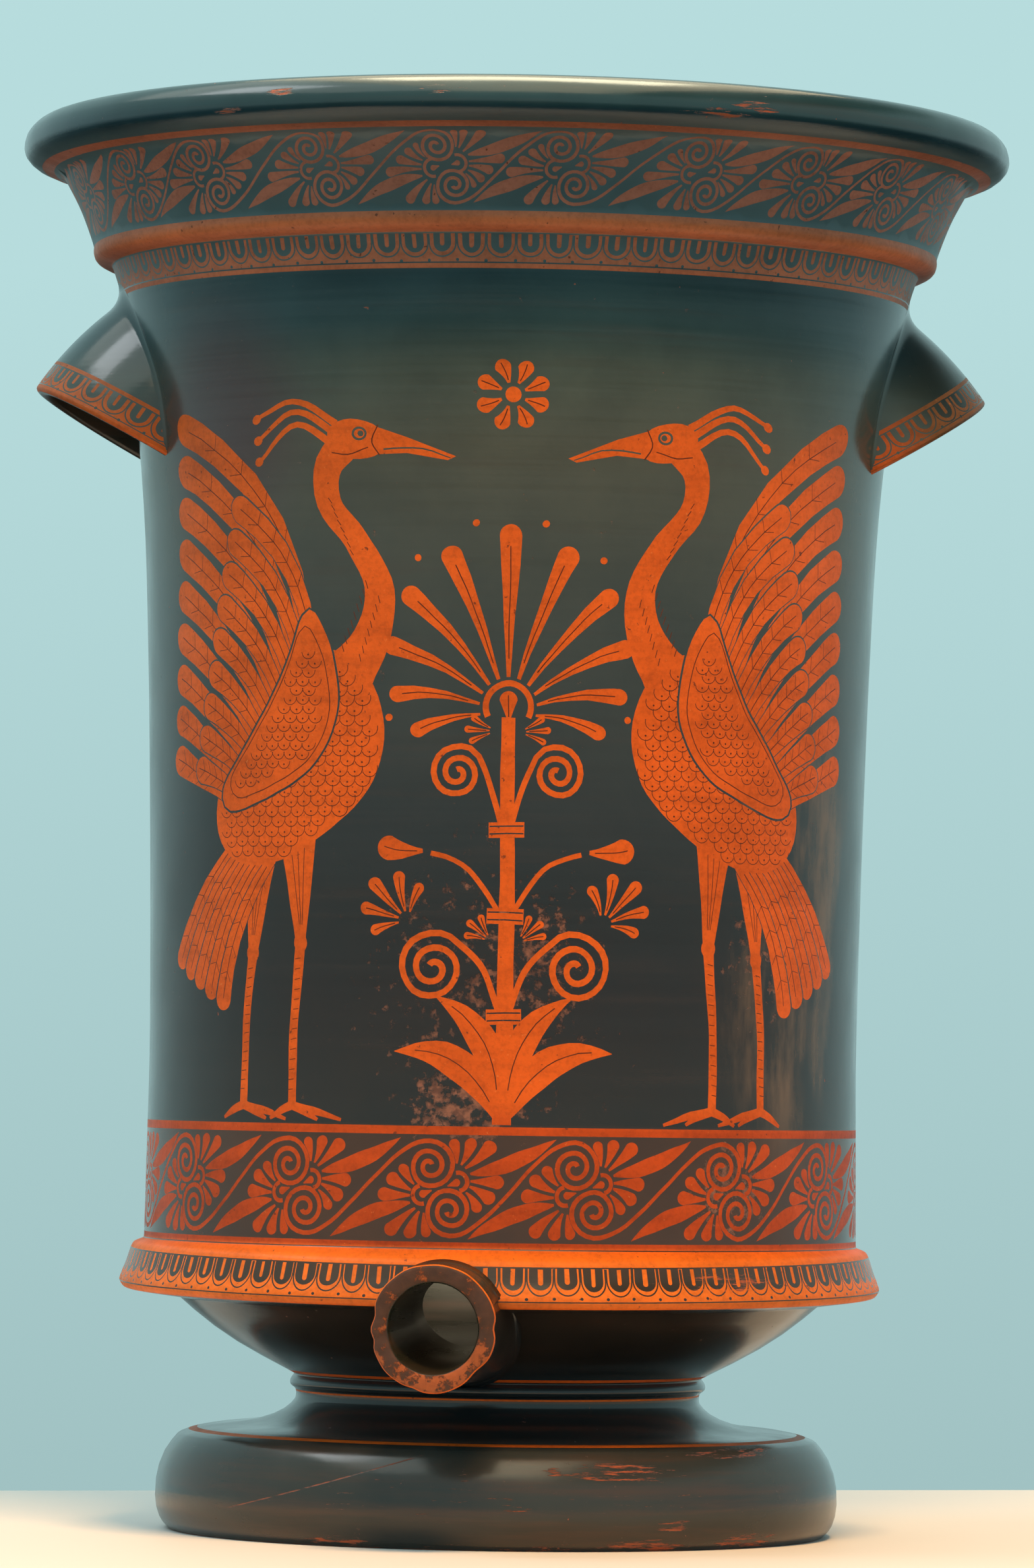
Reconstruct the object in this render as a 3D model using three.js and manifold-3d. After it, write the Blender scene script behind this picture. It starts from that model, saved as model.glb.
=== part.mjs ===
// A spouted krater of fired clay: a tall flaring vessel on a moulded foot, with a
// rolled lip, two pocket handles that open downwards, and a short drain spout.
// Potted as one piece, so it is one hollow solid. Millimetres, +Z up, and the origin
// is at the centre of the ring that the foot stands on.
import * as THREE from 'three';
import { mergeVertices } from 'three/addons/utils/BufferGeometryUtils.js';
import Module from 'manifold-3d';

// Driving dimensions
const HEIGHT = 525.5;
const LIP_RADIUS = 185.2;
const BODY_RADIUS = 132.4;
const FOOT_RADIUS = 127.5;
const FOOT_HEIGHT = 35.5;
const STEM_RADIUS = 75.4;
const LEDGE_RADIUS = 142.5;
const WALL = 8;
const FLOOR_HEIGHT = 65;
const TURNS = 56;

// Pocket handles: a slightly tapered tube that leans out of the wall, mouth down. Each mouth
// is cut through the tip at a flatter slope, with its own tilt to the front and its own height.
const HANDLE_MOUTH_RADIUS = 139.4;
const HANDLE_MOUTH_HEIGHT = 399.3;
const HANDLE_REACH = 47.5;
const HANDLE_HALF_WIDTH = 50;
const HANDLE_TAPER = 0.004;
const HANDLE_LENGTH = 70;
const HANDLE_WALL = 5.5;
const HANDLE_SLOPE = THREE.MathUtils.degToRad(34);
const HANDLE_LEAN = THREE.MathUtils.degToRad(2.5);
const HANDLE_CUT_SLOPE = THREE.MathUtils.degToRad(28.7);
const HANDLE_TURNS = 36;
const LEFT_HANDLE = { bearing: THREE.MathUtils.degToRad(183.5), tilt: THREE.MathUtils.degToRad(0.8), cut: 0 };
const RIGHT_HANDLE = { bearing: THREE.MathUtils.degToRad(3.5), tilt: THREE.MathUtils.degToRad(5.5), cut: 2.4 };

// Drain spout: a level tube through the bowl, a little left of the front
const SPOUT_RADIUS = 22.9;
const SPOUT_BORE_RADIUS = 16;
const SPOUT_REACH = 163;
const SPOUT_HEIGHT = 80.7;
const SPOUT_BEARING = THREE.MathUtils.degToRad(-90 - 8.25);
const SPOUT_TURNS = 28;

const wasm = await Module();
wasm.setup();

// Smooth run of profile points through a few radius and height pairs
function curve(pairs, steps) {
  const points = pairs.map(([r, z]) => new THREE.Vector2(r, z));
  return new THREE.SplineCurve(points).getPoints(steps);
}

function corners(pairs) {
  return pairs.map(([r, z]) => new THREE.Vector2(r, z));
}

// Turns a profile of radius and height about the vertical axis
function turned(points, turns) {
  const geometry = new THREE.LatheGeometry(points, turns);
  return geometry.rotateX(Math.PI / 2);
}

// Closed solid of a geometry: shared corners are merged, and the flat triangles
// that a profile leaves on its axis are dropped
function solidOf(geometry) {
  geometry.deleteAttribute('normal');
  geometry.deleteAttribute('uv');
  const merged = mergeVertices(geometry, 1e-4);
  const corner = merged.index.array;
  const triVerts = [];
  for (let i = 0; i < corner.length; i += 3) {
    const [a, b, c] = [corner[i], corner[i + 1], corner[i + 2]];
    if (a !== b && b !== c && c !== a) triVerts.push(a, b, c);
  }
  const vertProperties = new Float32Array(merged.attributes.position.array);
  const mesh = new wasm.Mesh({ numProp: 3, vertProperties, triVerts: new Uint32Array(triVerts) });
  return new wasm.Manifold(mesh);
}

function geometryOf(solid) {
  const { vertProperties, triVerts } = solid.getMesh();
  const geometry = new THREE.BufferGeometry();
  geometry.setAttribute('position', new THREE.BufferAttribute(vertProperties, 3));
  geometry.setIndex(new THREE.BufferAttribute(triVerts, 1));
  geometry.computeVertexNormals();
  return geometry;
}

// Hollow underside of the foot, from the axis out to the standing ring
function undersideProfile() {
  const ring = FOOT_RADIUS - 23;
  return [
    ...corners([[0, 48]]),
    ...curve([[40, 46.5], [66, 39], [84, 24], [ring - 6, 7], [ring, 0]], 4),
  ];
}

// Foot, stem, bowl and the ledge above it
function footProfile() {
  const stem = STEM_RADIUS;
  const foot = FOOT_RADIUS;
  const ledge = LEDGE_RADIUS;
  return [
    ...curve([[foot - 5, 0], [foot - 0.2, 9.5], [foot - 0.9, 22.5], [foot - 8.2, FOOT_HEIGHT]], 6),
    ...curve([[foot - 10, 36.6], [foot - 20, 38.5], [stem + 16, 40.7], [stem + 4.6, 44.8], [stem, 49.6]], 4),
    ...corners([[stem, 53], [stem + 2.2, 55.2], [stem + 0.6, 58.2]]),
    ...curve([[stem + 2.2, 59], [stem + 19.3, 68], [ledge - 30.4, 79.8], [ledge - 22.3, 86.9]], 3),
    ...corners([[ledge - 1.7, 90.2], [ledge, 93]]),
    ...curve([[ledge - 0.6, 95], [ledge - 3, 100.4], [ledge - 4.4, 105.4]], 2),
    ...corners([[ledge - 5.3, 107], [BODY_RADIUS + 0.8, 108.2]]),
  ];
}

// Body, the round moulding under the neck, the neck and the rolled lip
function wallProfile() {
  const body = BODY_RADIUS;
  const lip = LIP_RADIUS;
  return [
    ...curve([[body + 0.7, 112], [body, 180], [body + 1.2, 255], [body + 3.6, 345],
      [body + 6.6, 393], [body + 11, 431], [body + 15.6, 460.5], [body + 18.8, 471.2]], 7),
    ...curve([[body + 22, 471.6], [body + 25.2, 473.6], [body + 26.3, 476.6], [body + 26, 479.3]], 3),
    ...curve([[body + 27.5, 483.1], [body + 32.3, 495.3], [lip - 15.2, 505.2]], 2),
    ...curve([[lip - 10, 507.4], [lip - 4.2, 509.6], [lip - 0.8, 512.6], [lip, 516], [lip - 1.3, 520.6],
      [lip - 5.2, 524.4], [lip - 10, HEIGHT], [lip - 15.2, 524.5], [lip - 19.7, 521.3], [lip - 22.7, 515.5]], 9),
  ];
}

// Inside of the vessel, from under the lip down to the middle of the floor.
// A margin pushes the whole surface out into the wall.
function insideProfile(margin = 0) {
  const inner = BODY_RADIUS - WALL;
  const shift = ([r, z]) => [r + margin, z - margin];
  return [
    ...curve([[LIP_RADIUS - 24.3, 507], [inner + 27, 489], [inner + 20.5, 474], [inner + 11.4, 436],
      [inner + 6.6, 393], [inner + 3.6, 345], [inner + 1.2, 255], [inner, 180], [inner, 122]].map(shift), 8),
    ...curve([[inner - 2.4, 108], [inner - 12, 93.5], [inner - 36, 76.5], [inner - 66, 67.5]].map(shift), 3),
    ...corners([[0, FLOOR_HEIGHT - margin]]),
  ];
}

// Solid plug of the inside, pushed half way into the wall: it trims what is
// joined to the outside, so that nothing shows within
function innerPlug() {
  const rising = insideProfile(WALL / 2).reverse();
  const top = rising[rising.length - 1];
  return solidOf(turned([...rising, ...corners([[top.x, HEIGHT + 20], [0, HEIGHT + 20]])], TURNS));
}

// Reach of a handle's tube at a height above its mouth, measured along the tube
const handleReach = (height) => HANDLE_REACH - HANDLE_TAPER * height * height;

function handleTube(below, above, inset) {
  const levels = [0, 0.12, 0.3, 0.5, 0.75, 1].map((share) => below + share * (above - below));
  const wall = levels.map((h) => [handleReach(Math.max(h, 0)) - inset, h]);
  const tube = new THREE.LatheGeometry(corners([[0, below], ...wall, [0, above]]), HANDLE_TURNS);
  return tube.scale(1, 1, HANDLE_HALF_WIDTH / HANDLE_REACH);
}

// Place of a handle: its tube's x runs outwards along the mouth, and y up the tube
function handlePlace(bearing) {
  const slope = HANDLE_SLOPE;
  const outwards = new THREE.Vector3(Math.cos(bearing), Math.sin(bearing), 0);
  const up = new THREE.Vector3(0, 0, 1);
  const along = outwards.clone().multiplyScalar(Math.cos(slope)).addScaledVector(up, Math.sin(slope));
  const rise = up.clone().multiplyScalar(Math.cos(slope)).addScaledVector(outwards, -Math.sin(slope));
  const side = along.clone().cross(rise);
  const mouth = outwards.clone().multiplyScalar(HANDLE_MOUTH_RADIUS).setZ(HANDLE_MOUTH_HEIGHT);
  const lean = new THREE.Matrix4().makeRotationX(HANDLE_LEAN);
  const turn = new THREE.Matrix4().makeBasis(along, rise, side);
  return lean.multiply(turn).setPosition(mouth);
}

function handle({ bearing, tilt, cut }, plug) {
  const place = handlePlace(bearing);
  const outer = solidOf(handleTube(0, HANDLE_LENGTH, 0).applyMatrix4(place));
  const pocket = solidOf(handleTube(-6, HANDLE_LENGTH - HANDLE_WALL, HANDLE_WALL).applyMatrix4(place));
  const tip = new THREE.Vector3(HANDLE_REACH, 0, 0).applyMatrix4(place);
  const upwards = new THREE.Vector3(0, 0, 1).applyAxisAngle(
    new THREE.Vector3(Math.sin(bearing), -Math.cos(bearing), 0), HANDLE_CUT_SLOPE);
  upwards.applyAxisAngle(new THREE.Vector3(1, 0, 0), tilt);
  const mouth = upwards.dot(tip.setZ(tip.z + cut));
  return outer.trimByPlane(upwards.toArray(), mouth).subtract(pocket).subtract(plug);
}

// A level tube about the spout's axis, between two distances from the vessel's axis
function spoutTube(radius, start, end, flare) {
  const profile = corners([[0, start], [radius - flare, start], [radius - flare, end - 12], [radius, end], [0, end]]);
  const tube = new THREE.LatheGeometry(profile, SPOUT_TURNS);
  tube.rotateZ(-Math.PI / 2).rotateZ(SPOUT_BEARING).translate(0, 0, SPOUT_HEIGHT);
  return solidOf(tube);
}

function krater() {
  const plug = innerPlug();
  const profile = [...undersideProfile(), ...footProfile(), ...wallProfile(), ...insideProfile()];
  let vessel = solidOf(turned(profile, TURNS));
  for (const side of [LEFT_HANDLE, RIGHT_HANDLE]) vessel = vessel.add(handle(side, plug));
  const start = BODY_RADIUS - 60;
  vessel = vessel.add(spoutTube(SPOUT_RADIUS, start, SPOUT_REACH, 1.2).subtract(plug));
  vessel = vessel.subtract(spoutTube(SPOUT_BORE_RADIUS, start, SPOUT_REACH + 10, 0));
  const clay = new THREE.MeshStandardMaterial({ color: 0x1d1a18, roughness: 0.25, metalness: 0 });
  const mesh = new THREE.Mesh(geometryOf(vessel), clay);
  mesh.name = 'krater';
  return mesh;
}

const object = new THREE.Group();
object.add(krater());

export default object;
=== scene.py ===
"""Dresses a spouted pottery krater: a turned vessel with painted bands, two pocket handles and a spout."""

import math

import bmesh
import bpy
import numpy as np
from bpy.props import FloatProperty, FloatVectorProperty, IntProperty, PointerProperty
from mathutils import Matrix, Vector
from mathutils.geometry import delaunay_2d_cdt


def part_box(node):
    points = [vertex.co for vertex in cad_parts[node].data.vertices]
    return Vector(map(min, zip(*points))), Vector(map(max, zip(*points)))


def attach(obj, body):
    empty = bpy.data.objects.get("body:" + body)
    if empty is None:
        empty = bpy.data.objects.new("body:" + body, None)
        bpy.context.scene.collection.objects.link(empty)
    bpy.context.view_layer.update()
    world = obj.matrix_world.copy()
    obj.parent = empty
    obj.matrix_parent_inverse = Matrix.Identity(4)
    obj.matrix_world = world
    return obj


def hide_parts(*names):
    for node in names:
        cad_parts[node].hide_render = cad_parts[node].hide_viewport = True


bl_info = {
    "name": "Painted Krater",
    "version": (1, 0, 0),
    "blender": (4, 5, 0),
    "location": "View3D > Sidebar > Krater",
    "description": "Builds a spouted krater with red-figure bands, its floor, lights and camera",
    "category": "Add Mesh",
}

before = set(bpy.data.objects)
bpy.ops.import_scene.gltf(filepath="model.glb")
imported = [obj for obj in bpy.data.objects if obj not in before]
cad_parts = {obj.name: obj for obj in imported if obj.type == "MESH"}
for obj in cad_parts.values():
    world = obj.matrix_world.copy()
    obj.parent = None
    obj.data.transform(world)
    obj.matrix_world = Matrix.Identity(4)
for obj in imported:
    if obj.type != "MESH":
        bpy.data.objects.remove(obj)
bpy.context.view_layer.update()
NODE_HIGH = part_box("krater")[1]

MM = 0.001
# Millimetres of the flat paint plane for each radian round the vessel
PLANE = 150.0
# Step of the sampled profile, in mm
STEP = 0.25
# How far the ledge sags at the front, in mm
LEDGE_SAG = 2.7
# Rise and radius of the spout's bore where it opens inside, in mm
BORE_RISE = 4.0
BORE_END = 13.0
# Middle of a handle's mouth from the vessel's axis and above the floor, in mm
HANDLE_OUT = 139.4
HANDLE_UP = 399.3
# How much a handle's tube narrows with the square of the height, per mm
HANDLE_TAPER = 0.004
# How deep a handle's root is sunk in the wall, in mm
ROOT_DEPTH = 3.0
# Paint plane of a handle, in mm: its width for each radian round the tube, and its stretched height
HANDLE_PLANE = 48.0
HANDLE_TALL = 45.0

# Finishes, in the order of the material slots
GLOSS, CLAY, INNER, BARE, THIN = range(5)
FINISH_NAMES = ("black_gloss", "reserved_clay", "inner_gloss", "bare_clay", "thin_line")

# Borders of the tongue and palmette bands: radius and height on the vessel, in mm
LEDGE_TOP = (138.3, 104.6)
BASE_LOW, BASE_HIGH = (133.1, 110.7), (132.7, 149.3)
COLLAR_LOW = (151.1, 471.2)
NECK_LOW, NECK_HIGH = (158.4, 478.8), (173.9, 507.0)
# Main zone: radius and height of its ground line, its mean radius, and the cranes' scale and place in mm
GROUND = (132.7, 153)
SCENE_RADIUS = 133.5
CRANE_SIZE, CRANE_SIDE = 0.95, 86
# Radius and height where each finish starts, from the middle of the underside to the inside
BANDS = (
    ((0, 48), BARE), ((122.6, 0.2), GLOSS), ((115.3, 37.0), CLAY), ((112.4, 37.8), GLOSS),
    ((75.5, 51.8), CLAY), ((75.7, 52.4), GLOSS), ((76.9, 58.7), CLAY), ((78.9, 59.7), GLOSS),
    ((139.8, 89.9), CLAY), ((142.6, 92.4), GLOSS), ((142.3, 92.9), CLAY), (LEDGE_TOP, GLOSS),
    ((138.1, 105.2), CLAY), ((133.4, 107.95), GLOSS), ((133.2, 108.5), CLAY), (BASE_LOW, GLOSS),
    (BASE_HIGH, CLAY), ((132.7, 152.3), GLOSS), ((147.8, 459.3), CLAY), ((148.2, 460.9), GLOSS),
    ((148.3, 461.4), CLAY), (COLLAR_LOW, GLOSS), ((151.4, 472.1), CLAY), (NECK_LOW, GLOSS),
    (NECK_HIGH, CLAY), ((178.4, 508.6), GLOSS), ((162.5, 515.5), INNER),
)


def length_setting(name, text, metres):
    """A length, in metres."""
    return FloatProperty(name=name, description=text, default=metres, unit="LENGTH")


def angle_setting(name, text, degrees):
    """An angle, given in degrees and kept in radians."""
    return FloatProperty(name=name, description=text, default=math.radians(degrees), subtype="ANGLE")


def count_setting(name, text, count):
    """A whole number."""
    return IntProperty(name=name, description=text, default=count)


def colour_setting(name, text, colour):
    """A colour."""
    return FloatVectorProperty(name=name, description=text, default=colour, subtype="COLOR", size=3)


class KraterSizes(bpy.types.PropertyGroup):
    """Sizes of the vessel, its handles and its spout."""

    height: length_setting("Height", "Standing ring to the top of the lip", NODE_HIGH.z)
    lip_radius: length_setting("Lip radius", "Widest radius of the lip", NODE_HIGH.x)
    body_radius: length_setting("Body radius", "Narrowest radius of the body", 0.1324)
    ledge_radius: length_setting("Ledge radius", "Lower edge of the ledge below the body", 0.1425)
    stem_radius: length_setting("Stem radius", "Narrowest radius above the foot", 0.0754)
    foot_radius: length_setting("Foot radius", "Widest radius of the foot", 0.1275)
    wall: length_setting("Wall", "Thickness of the body's wall", 0.008)
    handle_reach: length_setting("Handle reach", "Radius of a handle's tube outwards", 0.0475)
    handle_half_width: length_setting("Handle half width", "Radius of a handle's tube sideways", 0.05)
    handle_wall: length_setting("Handle wall", "Thickness of a handle", 0.0052)
    handle_slope: angle_setting("Handle slope", "Slope of a handle's tube", 34)
    handle_lean: angle_setting("Handle lean", "Tilt of the tubes to the front", 2.5)
    mouth_slope: angle_setting("Mouth slope", "Slope of a handle's mouth", 28.7)
    left_tilt: angle_setting("Left tilt", "Tilt of the left mouth to the front", 0.8)
    right_tilt: angle_setting("Right tilt", "Tilt of the right mouth to the front", 5.5)
    right_cut: length_setting("Right cut", "How much higher the right mouth is cut", 0.0024)
    handle_turn: angle_setting("Handle turn", "Turn of both handles on the body", 3.5)
    spout_radius: length_setting("Spout radius", "Outside radius of the spout's mouth", 0.0229)
    spout_bore: length_setting("Spout bore", "Radius of the spout's bore", 0.016)
    spout_reach: length_setting("Spout reach", "Mouth of the spout from the axis", 0.163)
    spout_height: length_setting("Spout height", "Height of the spout's axis", 0.0807)
    spout_turn: angle_setting("Spout turn", "Turn of the spout left of the front", 8.25)


class KraterOrnament(bpy.types.PropertyGroup):
    """How often each painted motif is repeated."""

    neck_palmettes: count_setting("Neck palmettes", "Palmette pairs on the neck", 22)
    base_palmettes: count_setting("Base palmettes", "Palmette pairs above the ledge", 15)
    collar_tongues: count_setting("Collar tongues", "Tongues under the collar", 90)
    ledge_tongues: count_setting("Ledge tongues", "Tongues on the ledge", 90)
    handle_tongues: count_setting("Handle tongues", "Tongues on each handle", 15)


class KraterColours(bpy.types.PropertyGroup):
    """Colours of the finishes and of the stage."""

    inner_gloss: colour_setting("Inner gloss", "Gloss of the inside", (0.017, 0.017, 0.011))
    thin_gloss: colour_setting("Thin gloss", "Gloss where it is thin", (0.06, 0.028, 0.016))
    bare_clay: colour_setting("Bare clay", "Clay where the gloss is lost", (0.36, 0.07, 0.018))
    thin_line: colour_setting("Thin line", "Finest brown lines", (0.13, 0.025, 0.006))
    floor: colour_setting("Floor", "Pale floor", (0.88, 0.8, 0.76))
    air: colour_setting("Air", "Pale light from all round", (0.474, 0.716, 0.723))


def through(points):
    """Smooth run through the points, sampled about every STEP.

    Each span from b to c, with neighbours a and d, is the Catmull-Rom cubic
    (2b + (c - a)t + (2a - 5b + 4c - d)t^2 + (3b - a - 3c + d)t^3) / 2.
    """
    p = np.asarray(points, float)
    p = np.vstack([2 * p[0] - p[1], p, 2 * p[-1] - p[-2]])
    runs = []
    for a, b, c, d in zip(p[:-3], p[1:-2], p[2:-1], p[3:]):
        count = max(2, int(np.linalg.norm(c - b) / STEP))
        t = np.linspace(0, 1, count, endpoint=False)[:, None]
        cubic = 2 * b + (c - a) * t + (2 * a - 5 * b + 4 * c - d) * t**2 + (3 * b - a - 3 * c + d) * t**3
        runs.append(cubic / 2)
    return np.vstack([*runs, p[-2:-1]])


class Section:
    """A profile: radius r and height z in mm, and the outward normal, against the length s along it."""

    def __init__(self, runs, rounding):
        """Joins the runs and rounds the corners between them by a moving Gaussian mean."""
        path = np.vstack([through(run) for run in runs])
        path = path[np.append(True, np.hypot(*np.diff(path, axis=0).T) > 1e-6)]
        length = np.append(0, np.cumsum(np.hypot(*np.diff(path, axis=0).T)))
        self.s = np.linspace(0, length[-1], int(length[-1] / STEP))
        path = np.column_stack([np.interp(self.s, length, column) for column in path.T])
        reach = int(4 * rounding / STEP)
        weight = np.exp(-0.5 * (np.arange(-reach, reach + 1) * STEP / rounding) ** 2)
        path = np.pad(path, ((reach, reach), (0, 0)), mode="reflect", reflect_type="odd")
        self.r, self.z = (np.convolve(column, weight / weight.sum(), mode="valid") for column in path.T)
        self.r[[0, -1]] = 0
        rise, run = np.gradient(self.z), np.gradient(self.r)
        size = np.hypot(rise, run)
        self.nr, self.nz = rise / size, -run / size

    def at(self, s):
        """Radius, height and normal at lengths along the profile."""
        return [np.interp(s, self.s, column) for column in (self.r, self.z, self.nr, self.nz)]

    def find(self, r, z):
        """Length along the profile at the place nearest to a radius and height."""
        return self.s[np.argmin((self.r - r) ** 2 + (self.z - z) ** 2)]

    def rows(self, stations, spacing, bend):
        """Places for rows of points: a row each spacing mm or bend degrees, and one at each station."""
        turn = np.abs(np.diff(np.unwrap(np.arctan2(self.nz, self.nr))))
        progress = np.append(0, np.cumsum(np.diff(self.s) / spacing + np.degrees(turn) / bend))
        plain = np.interp(np.arange(1, int(progress[-1])), progress, self.s)
        stations = np.asarray(stations)
        clear = np.abs(plain[:, None] - stations).min(axis=1) > 0.5
        return np.sort(np.concatenate([plain[clear], stations]))


def vessel_section(sizes):
    """Profile of the vessel, from the middle of its underside over foot, wall and lip to the inner floor.

    Each run goes on from the end of the last one, with points as (radius from an edge, height).
    """
    top, lip = sizes.height / MM, sizes.lip_radius / MM
    body, ledge = sizes.body_radius / MM, sizes.ledge_radius / MM
    stem, foot = sizes.stem_radius / MM, sizes.foot_radius / MM
    inner = body - sizes.wall / MM
    ring = foot - 23
    spans = (
        [(0, (0, 48), (40, 46.5), (66, 39), (84, 24)), (ring, (-6, 7), (0, 0))],
        [(foot, (-5, 0))],
        [(foot, (-1.9, 3.9), (-0.2, 9.5), (0, 16), (-0.9, 22.5), (-3.2, 28.6), (-5.6, 32.3), (-8.2, 35.5))],
        [(foot, (-12.3, 37.1), (-18.8, 38.5)),
         (stem, (24, 39.4), (14.9, 40.7), (7.8, 43.1), (3.2, 45.8), (0.2, 48.9))],
        [(stem, (0, 51), (0.3, 53))],
        [(stem, (2, 53.8), (2.5, 55.2), (1.8, 57), (0.5, 58.2))],
        [(stem, (9.9, 63), (19.3, 68), (28.3, 73.6), (36.7, 79.8)), (ledge, (-22.3, 86.9))],
        [(ledge, (-1.7, 90.1))],
        [(ledge, (0, 92.6))],
        [(ledge, (-1.4, 96.5), (-3, 100.6), (-4.3, 105))],
        [(ledge, (-5.5, 106.9)), (body, (0.9, 108))],
        [(body, (0.3, 152), (0, 180), (0.6, 226), (1.6, 276), (3, 325), (5.2, 374.5), (9, 416), (12.5, 440),
          (15.6, 460.5), (19, 472.2))],
        [(body, (22.1, 472.5), (25.1, 474.0), (26.2, 476.6), (25.9, 478.9))],
        [(body, (29, 487.5), (32.3, 495.3)), (lip, (-15.2, 505.2))],
        [(lip, (-10.2, 507.5), (-4.2, 509.6), (-0.8, 512.6), (0, 516), (-1.3, 520.6), (-5.2, top - 1.1),
          (-10, top), (-15.2, top - 1), (-19.7, 521.3), (-22.7, 515.5), (-24.3, 507)),
         (inner, (27, 489), (20.5, 474), (11.4, 436), (6.6, 393), (3.6, 345), (1.2, 255), (0, 180), (0, 122),
          (-2.4, 108), (-12, 93.5), (-36, 76.5), (-66, 67.5)),
         (0, (0, 65))],
    )
    runs = []
    for span in spans:
        last = runs[-1][-1:] if runs else []
        runs.append(last + [(edge + r, z) for edge, *points in span for r, z in points])
    return Section(runs, rounding=0.7)


def ray(angle):
    """Unit vectors of the plane at angles."""
    return np.stack([np.cos(angle), np.sin(angle)], axis=-1)


def stroke(path, half_width):
    """Closed outline of a brush line: the path moved half a width to either side."""
    path = np.asarray(path, float)
    along = np.gradient(path, axis=0)
    along /= np.linalg.norm(along, axis=1)[:, None]
    across = np.column_stack([-along[:, 1], along[:, 0]]) * np.broadcast_to(half_width, len(path))[:, None]
    return np.vstack([path - across, (path + across)[::-1]])


def ring_stroke(outline, half_width):
    """A brush line round a closed outline."""
    return stroke(np.vstack([outline, outline[:1]]), half_width)


def bend_path(points, count):
    """Evenly spaced points on the smooth run through a few points."""
    smooth = through(np.asarray(points, float) * 10) / 10
    return smooth[np.linspace(0, len(smooth) - 1, count).astype(int)]


def bend_line(points, half_widths, count):
    """A brush line through a few points, its width carried smoothly between them."""
    place = np.linspace(0, 1, len(points))
    return stroke(bend_path(points, count), np.interp(np.linspace(0, 1, count), place, half_widths))


def ellipse(centre, half_sizes, turn=0.0, count=18):
    """Closed ellipse about a centre."""
    flat = ray(np.linspace(0, 2 * math.pi, count, endpoint=False)) * half_sizes
    cosine, sine = math.cos(turn), math.sin(turn)
    return flat @ np.array([[cosine, sine], [-sine, cosine]]) + centre


def smooth_shape(points, count=60):
    """Closed smooth outline through a ring of points."""
    points = np.asarray(points, float)
    smooth = through(np.vstack([points[-2:], points, points[:2]]) * 10) / 10
    half = len(smooth) // 2
    first, last = (np.argmin(np.hypot(*(part - points[0]).T)) for part in (smooth[:half], smooth[half:]))
    return smooth[np.linspace(first, half + last, count, endpoint=False).astype(int)]


def petal(base, tip, width, bend=0.0, pointed=False, stalk=0.17):
    """A petal from base to tip, bent sideways by a share of its length.

    Its width grows nearly evenly from a narrow stalk and ends in a half round as wide as the petal.
    A pointed leaf swells and closes again as a half sine instead.
    """
    base, tip = np.asarray(base, float), np.asarray(tip, float)
    head = max(1 - 0.5 * width / np.linalg.norm(tip - base), 0.5)
    swell = np.concatenate([[0, 0.2, 0.4, 0.6, 0.8, 0.92], np.ones(7)]) * head
    swell[6:] += (1 - head) * np.sin(np.linspace(0, math.pi / 2, 7))
    t = np.linspace(0, 1, 15) if pointed else swell
    across = np.array([base[1] - tip[1], tip[0] - base[0]])
    axis = base + (tip - base) * t[:, None] + across * (bend * 4 * t * (1 - t))[:, None]
    if pointed:
        half = 0.14 * (1 - t) + np.sin(math.pi * t**0.95) ** 0.9
    else:
        grow = stalk + (1 - stalk) * (t / head) ** 1.15
        half = np.where(t < head, grow, np.sqrt(np.maximum(1 - ((t - head) / (1 - head)) ** 2, 0)))
    half[-1] = 0.02
    return stroke(axis, half * width / 2)


def ribbed(base, tip, width, bend=0.0, pointed=False):
    """A light petal or leaf with a thin rib along its middle."""
    base, tip = np.asarray(base, float), np.asarray(tip, float)
    t = np.linspace(0.12, 0.86, 9)[:, None]
    across = np.array([base[1] - tip[1], tip[0] - base[0]])
    rib = base + (tip - base) * t + across * bend * 4 * t * (1 - t)
    return [(petal(base, tip, width, bend, pointed), CLAY), (stroke(rib, 0.2), THIN)]


def coil(centre, start, turns, radius, clockwise=1, count=48):
    """Spiral path from the outside in: its radius shrinks evenly with the angle turned."""
    turned = np.linspace(0, turns * 2 * math.pi, count)
    reach = radius * (1 - 0.88 * turned / turned[-1])
    return ray(start - clockwise * turned) * reach[:, None] + centre


def fan(centre, ring, lengths, widths, middle, spread):
    """Petals spread about a heart: base on a ring, and tips at each length from it."""
    angles = middle + np.linspace(-spread, spread, len(lengths))
    shapes = []
    for angle, length, width in zip(angles, lengths, widths):
        base, tip = centre + ray(angle) * ring, centre + ray(angle) * (ring + length)
        shapes += ribbed(base, tip, width, 0.06 * math.sin(middle - angle))
    return shapes


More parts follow.
